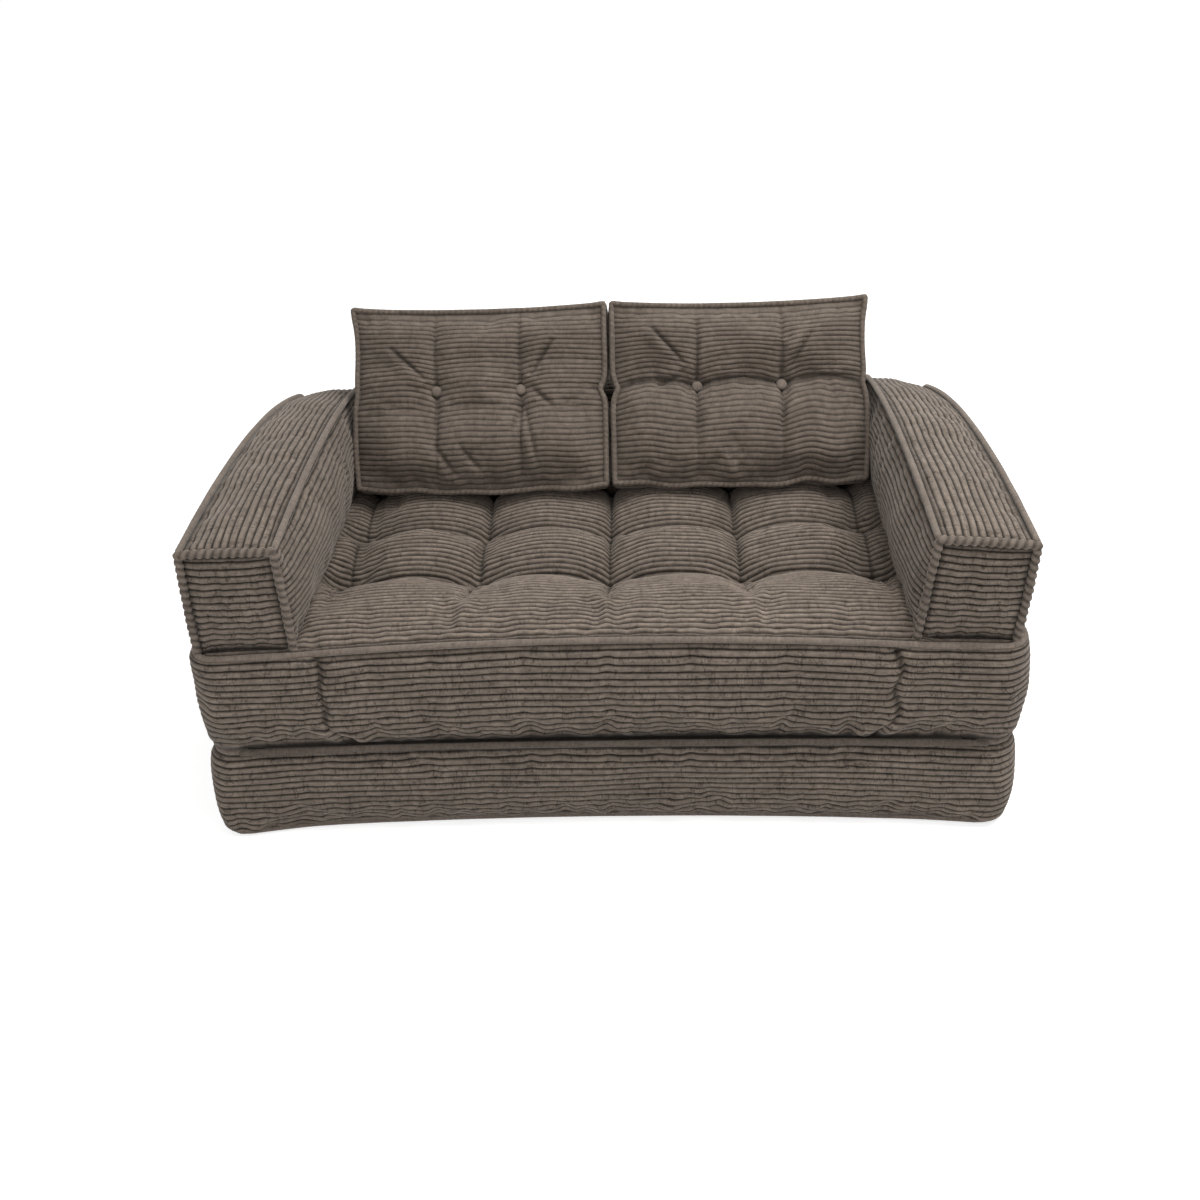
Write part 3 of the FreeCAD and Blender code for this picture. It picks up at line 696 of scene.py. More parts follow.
def tuft_height(x, y):
    roll = tuft_profile(y, front_line, row_a, 0.56, 0.025, 0.025, 0.045, 2.8)
    middle = tuft_profile(y, row_a, row_b, 0.70, 0.020, 0.040, 0.040)
    rear = tuft_profile(y, row_b, row_c, 0.50, 0.016, 0.036, 0.034)
    shelf = -0.018 * before_shelf(y)
    rows = np.where(y < row_a, roll, np.where(y < row_b, middle, np.where(y < row_c, rear, shelf)))
    share = np.abs(2 * (x / tuft_pitch - np.floor(x / tuft_pitch)) - 1)
    fade = ramp_up(y, row_a - 0.20, row_a + 0.01) * before_shelf(y)
    columns = -0.032 * share ** 2 * fade * np.where(np.abs(x) > 2 * tuft_pitch, 0.75, 1.0)
    nearest = np.round(x / tuft_pitch) * tuft_pitch
    pull = -0.012 * sum(near(np.hypot(x - nearest, y - row), 0.030) for row in (row_a, row_b))
    height = np.maximum(rows + columns, -0.050) + pull * (np.abs(nearest) < 2.5 * tuft_pitch)
    under_arm = ramp_up(np.abs(x), arm_inside - 0.019, arm_inside)
    return height * (1 - under_arm) + np.minimum(height, -0.001) * 0.15 * under_arm


print("the front roll stands", tuft_height(np.array(0.13), np.array(-0.27)).round(3), "m high")

# %% Blow up the seat
seat_sag = 0.006
top_rise = (0.018, -0.006)
groove_rise = (0.006, -0.010)
fill_points = flared(fill_between(*plan_edges(seat_sag), plan_x, plan_y))
seat_ring = flared(ring_round(*plan_edges(seat_sag)))
edge_mask = edges_pinned(fill_points)
all_pinned = np.ones(edge_mask.shape, bool)
tufts = tuft_height(fill_points[..., 0], fill_points[..., 1])
tufts[edge_mask] = 0.0
fill_groove = front_rise(fill_points, *groove_rise)
ring_groove = front_rise(seat_ring, *groove_rise)
seat_panels = {"top": raised(fill_points, seat_level + tufts + front_rise(fill_points, *top_rise)),
               "band": side_band(seat_ring, seat_ring, seat_low + ring_groove,
                                 seat_level + front_rise(seat_ring, *top_rise), layer_bulge),
               "floor": raised(fill_points, seat_low + fill_groove)}
on_crease = np.zeros(edge_mask.shape, bool)
for row in (row_a, row_b, row_c):
    on_crease[np.argmin(np.abs(plan_y - row))] = True
behind_roll = (plan_y > row_a - 0.02) & (plan_y < rear_shelf)
for column in tuft_columns:
    on_crease[behind_roll, np.argmin(np.abs(plan_x - column))] = True
on_crease |= (np.abs(plan_x) > arm_inside - 0.012)[None]
on_crease |= (plan_y > rear_shelf)[:, None]
inflate("seat", seat_panels,
        {"top": edge_mask | on_crease, "band": edges_pinned(seat_panels["band"], closed=True),
         "floor": all_pinned},
        pressure=1.4, spare=0.016, cap={"top": 0.007, "band": 0.005, "floor": 0.0})

# %% [markdown]
# Between the tufts the top is stitched down in narrow lines, sharper than any blown-up form, and the cloth
# gathers where a crease runs into the roll. Finer simulation could show that, but slowly. Here the lines
# are pushed in afterwards, with more columns close to each crease so that they stay crisp.


# %% The seat's top
def between_arms(x):
    return 1 - ramp_up(np.abs(x), arm_inside - 0.016, arm_inside)


def upright_crease(x, y, start):
    """How far a point is from the nearest upright crease, and how strong the crease is there."""
    off = x - np.round(x / tuft_pitch) * tuft_pitch
    return off, ramp_up(y, row_a - start, row_a - 0.02) * before_shelf(y)


def stitched_creases(u, v, x, y, z):
    off, strength = upright_crease(x, y, 0.22)
    push = -0.006 * near(off, 0.004, 1.2) * strength
    for row in (row_a, row_b, row_c):
        push -= 0.007 * near(y - row, 0.006, 1.2)
    push += 0.003 * swells(*x.shape, (14, 30), 35)
    gather = near(off, 0.035) * near(y - row_a + 0.08, 0.08)
    push += 0.006 * swells(*x.shape, (60, 70), 36) * gather
    return push * between_arms(x)


def crease_shadow(u, v, x, y, z):
    """Painted shade: dark in the stitched lines, softer beside the upright creases and at the foot of each
    tuft.
    """
    off, strength = upright_crease(x, y, 0.20)
    shadow = np.maximum(0.75 * near(off, 0.0034), 0.26 * near(off, 0.022, 1)) * strength
    for row in (row_a, row_b, row_c):
        shadow = np.maximum(shadow, 0.8 * near(y - row, 0.005))
        shadow = np.maximum(shadow, 0.30 * (y > row) * near(y - row, 0.045, 1))
    return shadow * between_arms(x)


close_by = np.array((0, 0.003, 0.006, 0.010, 0.015, 0.022))
crease_places = np.concatenate([place + way * close_by for place in tuft_columns for way in (-1, 1)])
seat_places = np.unique(np.round(np.concatenate([stops_to_grid(crease_stops, 0.012), crease_places]), 4))
seat_places = seat_places[np.concatenate([[True], np.diff(seat_places) > 0.0022])]
seat_shares = np.interp(seat_places, plan_x, np.linspace(0, 1, len(plan_x)))
seat_middle = np.array((0, plan_middle, 0.3))
make_piece("seat_top_cushion",
           [corduroy_panel(seat_panels["top"], seat_middle, shape=stitched_creases, dark=crease_shadow,
                           seed=3, shares=seat_shares, pitch=0.0128, depth=0.0058, power=0.52)],
           tuft_cloth_painted_lighter, "seat", ("seat_top_panel", "seat_core"))

# %% [markdown]
# The seat's boxing has two crooked upright seams in front, small puckers along its edges and a zip in a slot
# at the rear. They could be modelled as separate strips, but the cloth runs on through them. So each is a
# push along the normals, written over the place of a point, and the narrow seam lines also get painted shade.

# %% Seams, puckers and zip slots of the boxing
fold_plane = -0.4572
zip_places = {"seat": (0.3045, 0.310), "base": (0.10125, 0.310), "arm": (0.5093, 0.053),
              "wedge": (0.4928, 0.320), "pillow": (0.0335, 0.136)}
zip_slot_half = 0.0125


def zip_slot(owner, x, z):
    """One in the slot that the cloth leaves round a zip, fading out at its edges."""
    height, half_run = zip_places[owner]
    return (np.abs(x) < half_run) * near(z - height, zip_slot_half, 6)


def on_front(y):
    return y < front_line + 0.03


def upright_seams(x, z):
    """How far a point of the front is from each of its two crooked upright seams."""
    left = x + 0.513 - 0.9 * np.clip(0.255 - z, 0, 1) - 0.003 * np.sin(90 * z)
    right = x - 0.513 + 0.8 * np.clip(0.250 - z, 0, 1) - 0.006 * np.sin(75 * z)
    return left, right


def puckers(v, y, low, low_count, high, high_reach, seed):
    """Short swells along the lower and the upper seam, and long ones between them."""
    push = low * swells(*v.shape, (5, low_count), seed) * near(v, 0.30) * ramp_up(v, 0, 0.06)
    push *= mostly_front(y)
    push += high * swells(*v.shape, (4, 120), seed + 1) * near(1 - v, high_reach) * ramp_up(1 - v, 0, 0.06)
    return push + 0.004 * swells(*v.shape, (3, 40), seed + 2) * np.sin(np.pi * v)


def meets_flat(push, y):
    """No push beyond the plane where the folded-out base lies against the seat."""
    return np.where(on_front(y), np.minimum(push, y - fold_plane), push)


print("zip slots for", ", ".join(zip_places))


# %% The seat's boxing
# Painted shade along the two upright seams of the front.
def seam_shadow(u, v, x, y, z):
    return on_front(y) * sum(0.55 * near(off, 0.005) for off in upright_seams(x, z))


def seat_band_shape(u, v, x, y, z):
    """Two upright seams in the front, puckers, and the zip's slot at the rear."""
    push = puckers(v, y, 0.0045, 190, 0.0025, 0.25, 31)
    for off in upright_seams(x, z):
        push -= on_front(y) * 0.0075 * near(off, 0.007)
        push += on_front(y) * 0.006 * near(np.abs(off) - 0.028, 0.018)
    soft_fold = x + 0.535 - 0.5 * (z - 0.37)
    push += on_front(y) * 0.008 * near(soft_fold, 0.014) * ramp_up(z, 0.30, 0.34)
    push -= 0.012 * (y > rear_line - 0.03) * zip_slot("seat", x, z)
    return meets_flat(push, y)


def corner_piece_lift(u, v, x, y, z):
    """Outside the upright seams the ribs lie half a rib higher, and come level again along the side."""
    left, right = upright_seams(x, z)
    outside = (left < 0) | (right > 0)
    return 0.0075 * outside * (1 - ramp_up(y, front_line + 0.03, plan_middle + 0.2))


boxing = {"step": 0.0065, "closed": True, "pitch": 0.0155, "bunch": 0.0042}
make_piece("seat_boxing_cushion",
           [corduroy_panel(seat_panels["band"], seat_middle, shape=seat_band_shape, drift=corner_piece_lift,
                           dark=seam_shadow, seed=5, **boxing),
            corduroy_panel(seat_panels["floor"], seat_middle, step=0.03, seed=6, depth=0.002)],
           corduroy_cloth, "seat", ("seat_cover",))

# %% [markdown]
# The base is plain on top and hidden there. Its sides draw in towards the floor, most in the middle of
# each side, because the cover is pulled under the foam and sewn to the dark cloth below. It is made like the
# seat, from a smaller plan at the foot to the seat's own plan at the groove, so that the layers match.

# %% The base layer
foot_sag, foot_rear_sag = 0.026, 0.006
foot_ears = (0.022, 0.008, 0.8)
foot_level = 0.006
foot_edges = plan_edges(foot_sag, 0.002, foot_rear_sag)
foot_ring = flared(ring_round(*foot_edges), *foot_ears)
foot_fill = flared(fill_between(*foot_edges, plan_x, plan_y), *foot_ears)
base_panels = {"top": raised(fill_points, base_level + fill_groove),
               "band": side_band(foot_ring, seat_ring, foot_level, base_level + ring_groove, layer_bulge),
               "floor": raised(foot_fill, foot_level)}
inflate("base", base_panels,
        {"top": all_pinned, "band": edges_pinned(base_panels["band"], closed=True), "floor": all_pinned},
        pressure=1.2, spare=0.016, cap=0.005)


def base_band_shape(u, v, x, y, z):
    push = puckers(v, y, 0.005, 170, 0.002, 0.2, 41)
    push -= 0.010 * (y > rear_line - 0.04) * zip_slot("base", x, z)
    return meets_flat(push, y)


base_middle = np.array((0, plan_middle, 0.1))
hidden = {"step": 0.03, "depth": 0.001, "pitch": 0.03}
make_piece("base_cushion",
           [corduroy_panel(base_panels["band"], base_middle, shape=base_band_shape, seed=8, **boxing),
            corduroy_panel(base_panels["top"], base_middle, seed=9, **hidden),
            corduroy_panel(base_panels["floor"], base_middle, seed=10, **hidden)],
           corduroy_cloth, "base", ("base_cover", "base_core"))

# %% [markdown]
# Cords run along the seams: strips of the same cloth, cut on the bias and sewn round a soft cord. A curve
# with a round bevel would give a smooth tube without ribs. So a tube is built along the seam that the
# panels were pinned to, and its slanting ribs make it look wrapped.


# %% A cord in bias-cut cloth
def cord_tube(path, radius=0.0060, closed=False, twist=0.05, side=(0, 0, 1), seed=1, lay=0.0118, pale=0.75):
    """A tube along a path. Its ribs repeat once in each lay, and twist is their share of the radius."""
    sides = 12
    step = 0.0026 if twist > 0.2 else 0.0036
    path = np.asarray(path, float)
    loop = np.concatenate([path, path[:1]]) if closed else path
    run = np.concatenate([[0], np.cumsum(np.linalg.norm(np.diff(loop, axis=0), axis=1))])
    count = max(4, round(run[-1] / step)) + 1
    place = np.linspace(0, run[-1], count)
    line = np.stack([np.interp(place, run, loop[:, axis]) for axis in range(3)], 1)
    if closed:
        heading = unit(np.roll(line[:-1], -1, 0) - np.roll(line[:-1], 1, 0))
        heading = np.concatenate([heading, heading[:1]])
    else:
        heading = unit(np.gradient(line, axis=0))
    first = unit(np.cross(heading, np.asarray(side, float)))
    second = np.cross(heading, first)
    angle = np.linspace(0, 2 * np.pi, sides + 1)
    turns = round(run[-1] / lay)
    phase = place[:, None] / run[-1] * turns + angle[None] / (2 * np.pi)
    height = np.abs(np.sin(np.pi * phase)) ** 0.8
    thick = radius * (1 + twist * (height - 0.7) + 0.05 * swells(count, 1, (max(2, count // 14), 1), seed))
    if not closed:
        end = np.minimum(place, run[-1] - place)[:, None]
        thick = thick * np.sqrt(np.clip(end / (0.8 * radius), 0.02, 1))
    points = (line[:, None] + first[:, None] * (np.cos(angle) * thick)[..., None]
              + second[:, None] * (np.sin(angle) * thick)[..., None])
    quads = quads_of(np.arange(phase.size).reshape(phase.shape))
    uv = np.stack(np.broadcast_arrays(angle[None] * radius + seed, place[:, None]), -1)
    return points.reshape(-1, 3), quads, uv.reshape(-1, 2), pale + (1 - pale) * height.reshape(-1)


print("a short cord has", len(cord_tube([(0, 0, 0), (0.1, 0, 0)])[0]), "points")


# %% Cords of the two layers
def cord_ring(measures, height, rise=(0.0, 0.0), ears=()):
    ring = flared(ring_round(*plan_edges(*measures)), *ears)[:-1]
    return raised(ring, height + front_rise(ring, *rise))


seat_seam = cord_ring((seat_sag, -0.0045), seat_level + 0.0005, top_rise)
make_piece("seat_cord", [cord_tube(seat_seam, closed=True, seed=11)], cord_cloth, "seat", ("seat_piping",))
groove_ring = cord_ring((seat_sag, -0.004), 0.2025, groove_rise)
in_front = np.flatnonzero((groove_ring[:, 1] < plan_middle) & (np.abs(groove_ring[:, 0]) < 0.685))
off_front = np.roll(groove_ring, -in_front[-1], axis=0)[:len(groove_ring) - len(in_front) + 2]
foot_seam = cord_ring((foot_sag, 0.001, foot_rear_sag), 0.008, ears=foot_ears)
make_piece("base_cord", [cord_tube(off_front, seed=12), cord_tube(foot_seam, 0.005, closed=True, seed=13)],
           cord_cloth, "base", ("base_piping",))

welt_half, welt_front, welt_level = 0.690, -0.4530, 0.2045
welt_x = np.linspace(-welt_half, welt_half, 140)
welt_rise = front_rise(raised(welt_x[:, None], front_line), *groove_rise)
welt_y = welt_front + 0.004 * (welt_x / welt_half) ** 2
welt_path = np.stack([welt_x, welt_y, welt_level + welt_rise], 1)
# The fold cord wears the darker cloth as painted shade of the boxing above it.
make_piece("fold_cord", [cord_tube(welt_path, seed=14)], fold_cord_painted_shade_cloth, "seat", ("fold_welt",))

# %% [markdown]
# Arms and wedge are six-sided cushions. A cube with more and more cuts could be bent into them, but its
# grid would not run along the ribs. So each side is a grid over two of three directions, pushed out into a
# crown, and one function makes all six from the place of a point inside the block.

# %% Six-sided cushions
block_axes = {"left": (0, 0, 2, 1), "right": (0, 1, 2, 1), "front": (1, 0, 2, 0), "rear": (1, 1, 2, 0),
              "floor": (2, 0, 0, 1), "top": (2, 1, 0, 1)}


def block_sides(place, counts, crowns):
    """Grids of the six sides. Rows run across the ribs and columns along them."""
    sides = {}
    for name, (fixed, value, row_axis, col_axis) in block_axes.items():
        shape = (counts[row_axis], counts[col_axis])
        spot = [None] * 3
        spot[fixed] = np.full(shape, float(value))
        row = spot[row_axis] = np.linspace(0, 1, shape[0])[:, None] * np.ones((1, shape[1]))
        col = spot[col_axis] = np.linspace(0, 1, shape[1])[None] * np.ones((shape[0], 1))
        grid = place(*spot)
        spot[fixed] = np.full(shape, 0.5)
        out = unit(grid - place(*spot))
        crown = (4 * row * (1 - row)) ** 0.8 * np.minimum(1, (4 * col * (1 - col)) ** 0.5 * 1.2)
        sides[name] = grid + out * (crowns[name] * crown)[..., None]
    return sides


print("a block has the sides", ", ".join(block_axes))

# %% [markdown]
# Each arm is a long boxed bolster with an arched, crowned top. The ribs run along its length on the top
# and the sides and level across its front. The two arms are not alike: the right one leans and is sat down
# more on its outside, so a few habits for each side bend the same block, which a mirror could not do.

# %% The form of an arm
arm_front, arm_rear, arm_floor, arm_edge, arm_middle = -0.4205, 0.3835, 0.4083, 0.6103, 0.646
arm_habits = {"left": (0.0, 0.006, 0.009), "right": (0.016, 0.008, 0.022)}
both_sides = (("left", -1), ("right", 1))
arm_crowns = {"left": 0.005, "right": 0.005, "front": 0.011, "rear": 0.008, "floor": 0.0, "top": 0.014}


def arm_panels(side, sign):
    """The six sides of one arm, with its hollowed inner side, blown up."""
    lean, drop_inside, drop_outside = arm_habits[side]

    def arm_place(a, b, c):
        outside = 1 - a if sign < 0 else a
        x = sign * (arm_middle - 0.024 * c * b ** 3 * outside - lean * (1 - c) * (1 - b) ** 2)
        x = x + (a - 0.5) * (0.160 - 0.012 * b + 0.010 * (1 - c) * (1 - b))
        y = arm_front + b * (arm_rear - arm_front)
        arch = 0.020 * (1 - (2 * b - 1) ** 2) - 0.020 * b ** 5
        drop = drop_inside + (drop_outside - drop_inside) * outside + 0.014 * outside * b ** 6
        foot = arm_floor - 0.005 * np.abs(2 * a - 1) ** 4 - 0.006 * outside ** 4 * (1 - b) ** 2
        z = foot + c * (arm_edge + arch - drop - foot)
        return np.stack([x, y, z], -1)

    arm = block_sides(arm_place, (10, 44, 12), arm_crowns)
    inner = arm["right" if sign < 0 else "left"]
    tall, long = (np.linspace(0, 1, count) for count in inner.shape[:2])
    hollow = (4 * tall * (1 - tall))[:, None] ** 0.7 * np.sin(np.pi * long ** 0.65)[None]
    inner[..., 0] -= sign * 0.022 * hollow
    masks = {key: edges_pinned(grid) for key, grid in arm.items()}
    masks["floor"][:] = True
    inflate(side + "_arm", arm, masks, pressure=2.2, spare=0.004, cap=0.012)
    return arm


arms = {side: arm_panels(side, sign) for side, sign in both_sides}
print("arms with", len(arms["left"]), "sides each")

# %% [markdown]
# A cord follows each top edge of an arm and runs down its rear corner, and a thicker one with strong ribs
# frames the front. They are drawn along the edges of the blown-up grids, a little outside them, because a
# separate path would leave the seam wherever the cloth moved.

# %% Cords of an arm
cord_off = 0.0035
arm_cord_radius, frame_cord_radius = 0.0058, 0.0074


def arm_cords(arm, sign):
    cords = []
    for col_side, way in both_sides:
        along_top = arm[col_side][-1] + [way * cord_off, 0, cord_off]
        down_rear = arm[col_side][::-1, -1] + [way * cord_off, cord_off, 0]
        line = np.concatenate([along_top, down_rear[1:]])
        line[1:-1] = 0.25 * line[:-2] + 0.5 * line[1:-1] + 0.25 * line[2:]
        line = smooth_between(line, 4 * len(line), 0)
        cords.append(cord_tube(line, arm_cord_radius, twist=0.08, seed=24 + way))
    face = arm["front"]
    ring = np.concatenate([face[:, 0], face[-1, 1:], face[::-1, -1][1:]]) + [0, -cord_off, 0]
    ring += unit(ring - [sign * arm_middle, ring[:, 1].mean(), 0.51]) * [cord_off, 0, cord_off]
    cords.append(cord_tube(ring, frame_cord_radius, twist=0.50, side=(0, 1, 0), seed=27, lay=0.0145,
                           pale=0.1))
    return cords


print("arm cords of", 2000 * arm_cord_radius, "and", 2000 * frame_cord_radius, "mm")


# %% Make both arms
def dress_arm(side, sign):
    name, arm = side + "_arm", arms[side]
    middle = np.array((sign * arm_middle, -0.02, 0.52))

    def arm_wave(u, v, x, y, z):
        short = 0.003 * swells(*u.shape, (6, 40), 21 + sign) * near(np.minimum(v, 1 - v), 0.16)
        return 0.003 * swells(*u.shape, (3, 16), 20 + sign) + short

    def arm_rear_shape(u, v, x, y, z):
        return -0.017 * zip_slot("arm", x - sign * arm_middle, z)

    shapes = {"rear": arm_rear_shape, "floor": None}
    panels = [corduroy_panel(grid, middle, shape=shapes.get(key, arm_wave), seed=22 + number)
              for number, (key, grid) in enumerate(arm.items())]
    make_piece(name + "_cushion", panels, corduroy_cloth, name, (name + "_cover", name + "_core"))
    make_piece(name + "_cord", arm_cords(arm, sign), cord_cloth, name, (name + "_piping",))


for side, sign in both_sides:
    dress_arm(side, sign)

# %% [markdown]
# A back pillow is boxed all round. Its front is sewn across the middle and up two channels, with a covered
# button at each crossing, so it puffs into six pads. It could be built where it leans, but every formula
# would then carry the slope. So it is made lying on its back, in its own flat frame, and then turned to
# lean back by 29 degrees on the seat.

# %% The outline of a pillow
pillow_half, pillow_tall, pillow_boxing = 0.26105, 0.376, 0.067
pillow_row, channel = 0.200, 0.089
pillow_lean = 29.0
pillow_foot_x, pillow_foot_y, pillow_foot_z = 0.27535, 0.1965, 0.42048
pillow_step, pillow_turn_in = 0.0145, 0.0053
side_stop = pillow_half - pillow_turn_in
pillow_x = stops_to_grid([-side_stop, -channel, channel, side_stop], pillow_step)
pillow_y = stops_to_grid([pillow_turn_in, pillow_row, pillow_tall - pillow_turn_in], pillow_step)


def leaning(panels, sign):
    """Panels of a pillow that lies flat, moved to where it leans."""
    slope = math.radians(90 - pillow_lean)
    cos, sin = math.cos(slope), math.sin(slope)
    turn = np.array(((1, 0, 0), (0, cos, -sin), (0, sin, cos)))
    foot = np.array((sign * pillow_foot_x, pillow_foot_y, pillow_foot_z))
    return [(points @ turn.T + foot, *rest) for points, *rest in panels]


def pillow_edges(sign, droop=1.0):
    """Bottom, right, top and left edge: a sagging top, pointed ears and sides pinched at the crease."""
    across = pillow_x / pillow_half
    waves = 0.006 * swells(1, len(pillow_x), (1, 9), 58 + sign)[0] - (0.009 if sign < 0 else 0.003)
    bottom = np.stack([pillow_x, 0.002 + droop * waves * (1 - across ** 6)], 1)
    upper = np.stack([pillow_x, pillow_tall - 0.011 * (1 - across ** 2)], 1)
    bulge = 0.004 * np.sin(np.pi * np.clip(pillow_y / pillow_row, 0, 1))
    pinch = near(pillow_y - pillow_row, 0.016, 1.5)
    upper_draw = 0.005 * np.sin(np.pi * np.clip((pillow_y - pillow_row) / (pillow_tall - pillow_row), 0, 1))
    near_top = near(pillow_tall - pillow_y, 0.03)
    outer = pillow_half + bulge - upper_draw + 0.004 * near_top - (0.006 if sign > 0 else 0.004) * pinch
    inner = pillow_half + 0.002 + 0.001 * near_top - 0.011 * pinch
    right = np.stack([outer if sign > 0 else inner, pillow_y], 1)
    left = np.stack([-inner if sign > 0 else -outer, pillow_y], 1)
    for edge, end in ((right, -1), (left, 0)):
        edge[0, 1] = bottom[end, 1]
        bottom[end] = edge[0]
        edge[-1, 1] = upper[end, 1] + 0.002
        upper[end] = edge[-1]
    return bottom, right, upper, left


print("pillow grid", len(pillow_x), "by", len(pillow_y))

# %% [markdown]
# The left pillow is slack, with hardly any crease between its buttons, and the right one is creased right
# across. Both have a few sharp folds that run to the buttons. A simulation would put folds anywhere, so
# each one seen on the real pillow is drawn as a line with a depth, and pressed in with a soft lip beside it.

# %% Pads of the pillows
pillow_creases = {"left": 0.15, "right": 1.0}
pillow_folds = {
    "left": ((-0.182, 0.287, -0.115, 0.222, 0.008), (0.160, 0.297, 0.113, 0.226, 0.008),
             (0.116, 0.195, 0.152, 0.160, 0.006), (0.098, 0.190, 0.074, 0.112, 0.006),
             (0.098, 0.167, 0.122, 0.046, 0.005), (-0.092, 0.082, -0.052, 0.026, 0.006),
             (-0.038, 0.082, 0.0, 0.032, 0.005)),
    "right": ((-0.185, 0.322, -0.118, 0.242, 0.008), (-0.125, 0.210, -0.172, 0.188, 0.006),
              (0.150, 0.300, 0.108, 0.232, 0.006), (0.100, 0.188, 0.085, 0.105, 0.005)),
}


def pad_share(x):
    """Nought in the middle of a pad, one at the channel or side that ends it."""
    outer_middle, outer_half = (channel + pillow_half) / 2, (pillow_half - channel) / 2
    share = np.where(np.abs(x) < channel, np.abs(x) / channel, np.abs(np.abs(x) - outer_middle) / outer_half)
    return np.clip(share, 0, 1)


def front_height(x, y, crease):
    """The six pads of the front, over the plane of its seam. The crease is weak to strong, 0 to 1."""
    below = y < pillow_row
    t = np.clip(np.where(below, y / pillow_row, (pillow_tall - y) / (pillow_tall - pillow_row)), 0, 1)
    puff = np.where(below, 0.046, 0.036) * np.sin(np.pi * t ** 0.85) ** 0.65
    rows = np.maximum(puff, (0.014 + 0.028 * (1 - crease)) * ramp_up(t, 0.0, 1.0))
    columns = 1 - 0.20 * pad_share(x) ** 6
    edge = np.clip((pillow_half - np.abs(x)) / 0.11, 0, 1)
    rim = np.clip(np.minimum(y, pillow_tall - y) / 0.05, 0, 1)
    height = rows * columns * (1 - (1 - edge) ** 2.2) * np.sqrt(rim)
    pull = near(np.hypot(np.abs(x) - channel, y - pillow_row), 0.022)
    return height - (0.010 + 0.008 * (1 - crease)) * pull


print("folds", {side: len(folds) for side, folds in pillow_folds.items()})


# %% Folds and sewn lines of the pillows
def fold_push(x, y, folds):
    push = np.zeros_like(x)
    for x0, y0, x1, y1, deep in folds:
        way = np.array((x1 - x0, y1 - y0))
        share = ((x - x0) * way[0] + (y - y0) * way[1]) / (way @ way)
        inside = np.clip(share, 0, 1)
        off = np.hypot(x - x0 - inside * way[0], y - y0 - inside * way[1])
        beside = np.sign((x - x0) * way[1] - (y - y0) * way[0]) * off
        strength = 1.2 * deep * np.sin(np.pi * np.clip(0.15 + 0.70 * inside, 0, 1))
        push -= strength * near(off, 0.0044)
        push += 0.55 * strength * near(beside - 0.016, 0.012) * (np.abs(share - 0.5) < 0.6)
    return push


def pad_lines(x, y, crease):
    """The sewn crease and the two sewn channels, as thin lines of strength 0 to 1."""
    channels = 0.9 * near(y - pillow_row, 0.16) * near(np.abs(x) - channel, 0.0036, 1.4)
    return np.maximum(crease * near(y - pillow_row, 0.006, 1.4), channels)


print("channels", channel * 2000, "mm apart")


# %% Blow up both pillows
def pillow_panels(side, sign):
    """The front, boxing and back of one pillow, lying flat and blown up, and its two seams."""
    crease = pillow_creases[side]
    edges = {droop: pillow_edges(sign, droop) for droop in (0.0, 1.0)}
    seams = [ring_round(*edges[droop]) for droop in edges]
    flat = fill_between(*edges[1.0], pillow_x, pillow_y)
    rim = edges_pinned(flat)
    pads = front_height(flat[..., 0], flat[..., 1], crease)
    pads[rim] = 0.0
    a = np.linspace(-1, 1, len(pillow_x))[None]
    b = np.linspace(-1, 1, len(pillow_y))[:, None]
    back_crown = -0.026 * np.sqrt((1 - a ** 2) * (1 - b ** 2))
    panels = {"front": raised(flat, pillow_boxing + pads),
              "band": side_band(*seams, 0.0, pillow_boxing, bulge=0.0095, rows=7),
              "back": raised(fill_between(*edges[0.0], pillow_x, pillow_y), back_crown)}
    sewn = rim.copy()
    by_button = np.abs(np.abs(pillow_x) - channel) < 0.02
    sewn[np.argmin(np.abs(pillow_y - pillow_row))] |= by_button | (crease > 0.5)
    inflate(side + "_pillow", panels,
            {"front": sewn, "band": edges_pinned(panels["band"], closed=True), "back": rim},
            pressure=2.2, spare=0.008, cap={"front": 0.014, "band": 0.003, "back": 0.010})
    return panels, seams


pillows = {side: pillow_panels(side, sign) for side, sign in both_sides}
print("pillows with", len(pillows["left"][0]), "panels each")

# %% Ribs of a pillow
front_pitch, front_rib_depth, back_rib_depth = 0.0125, 0.0028, 0.0034


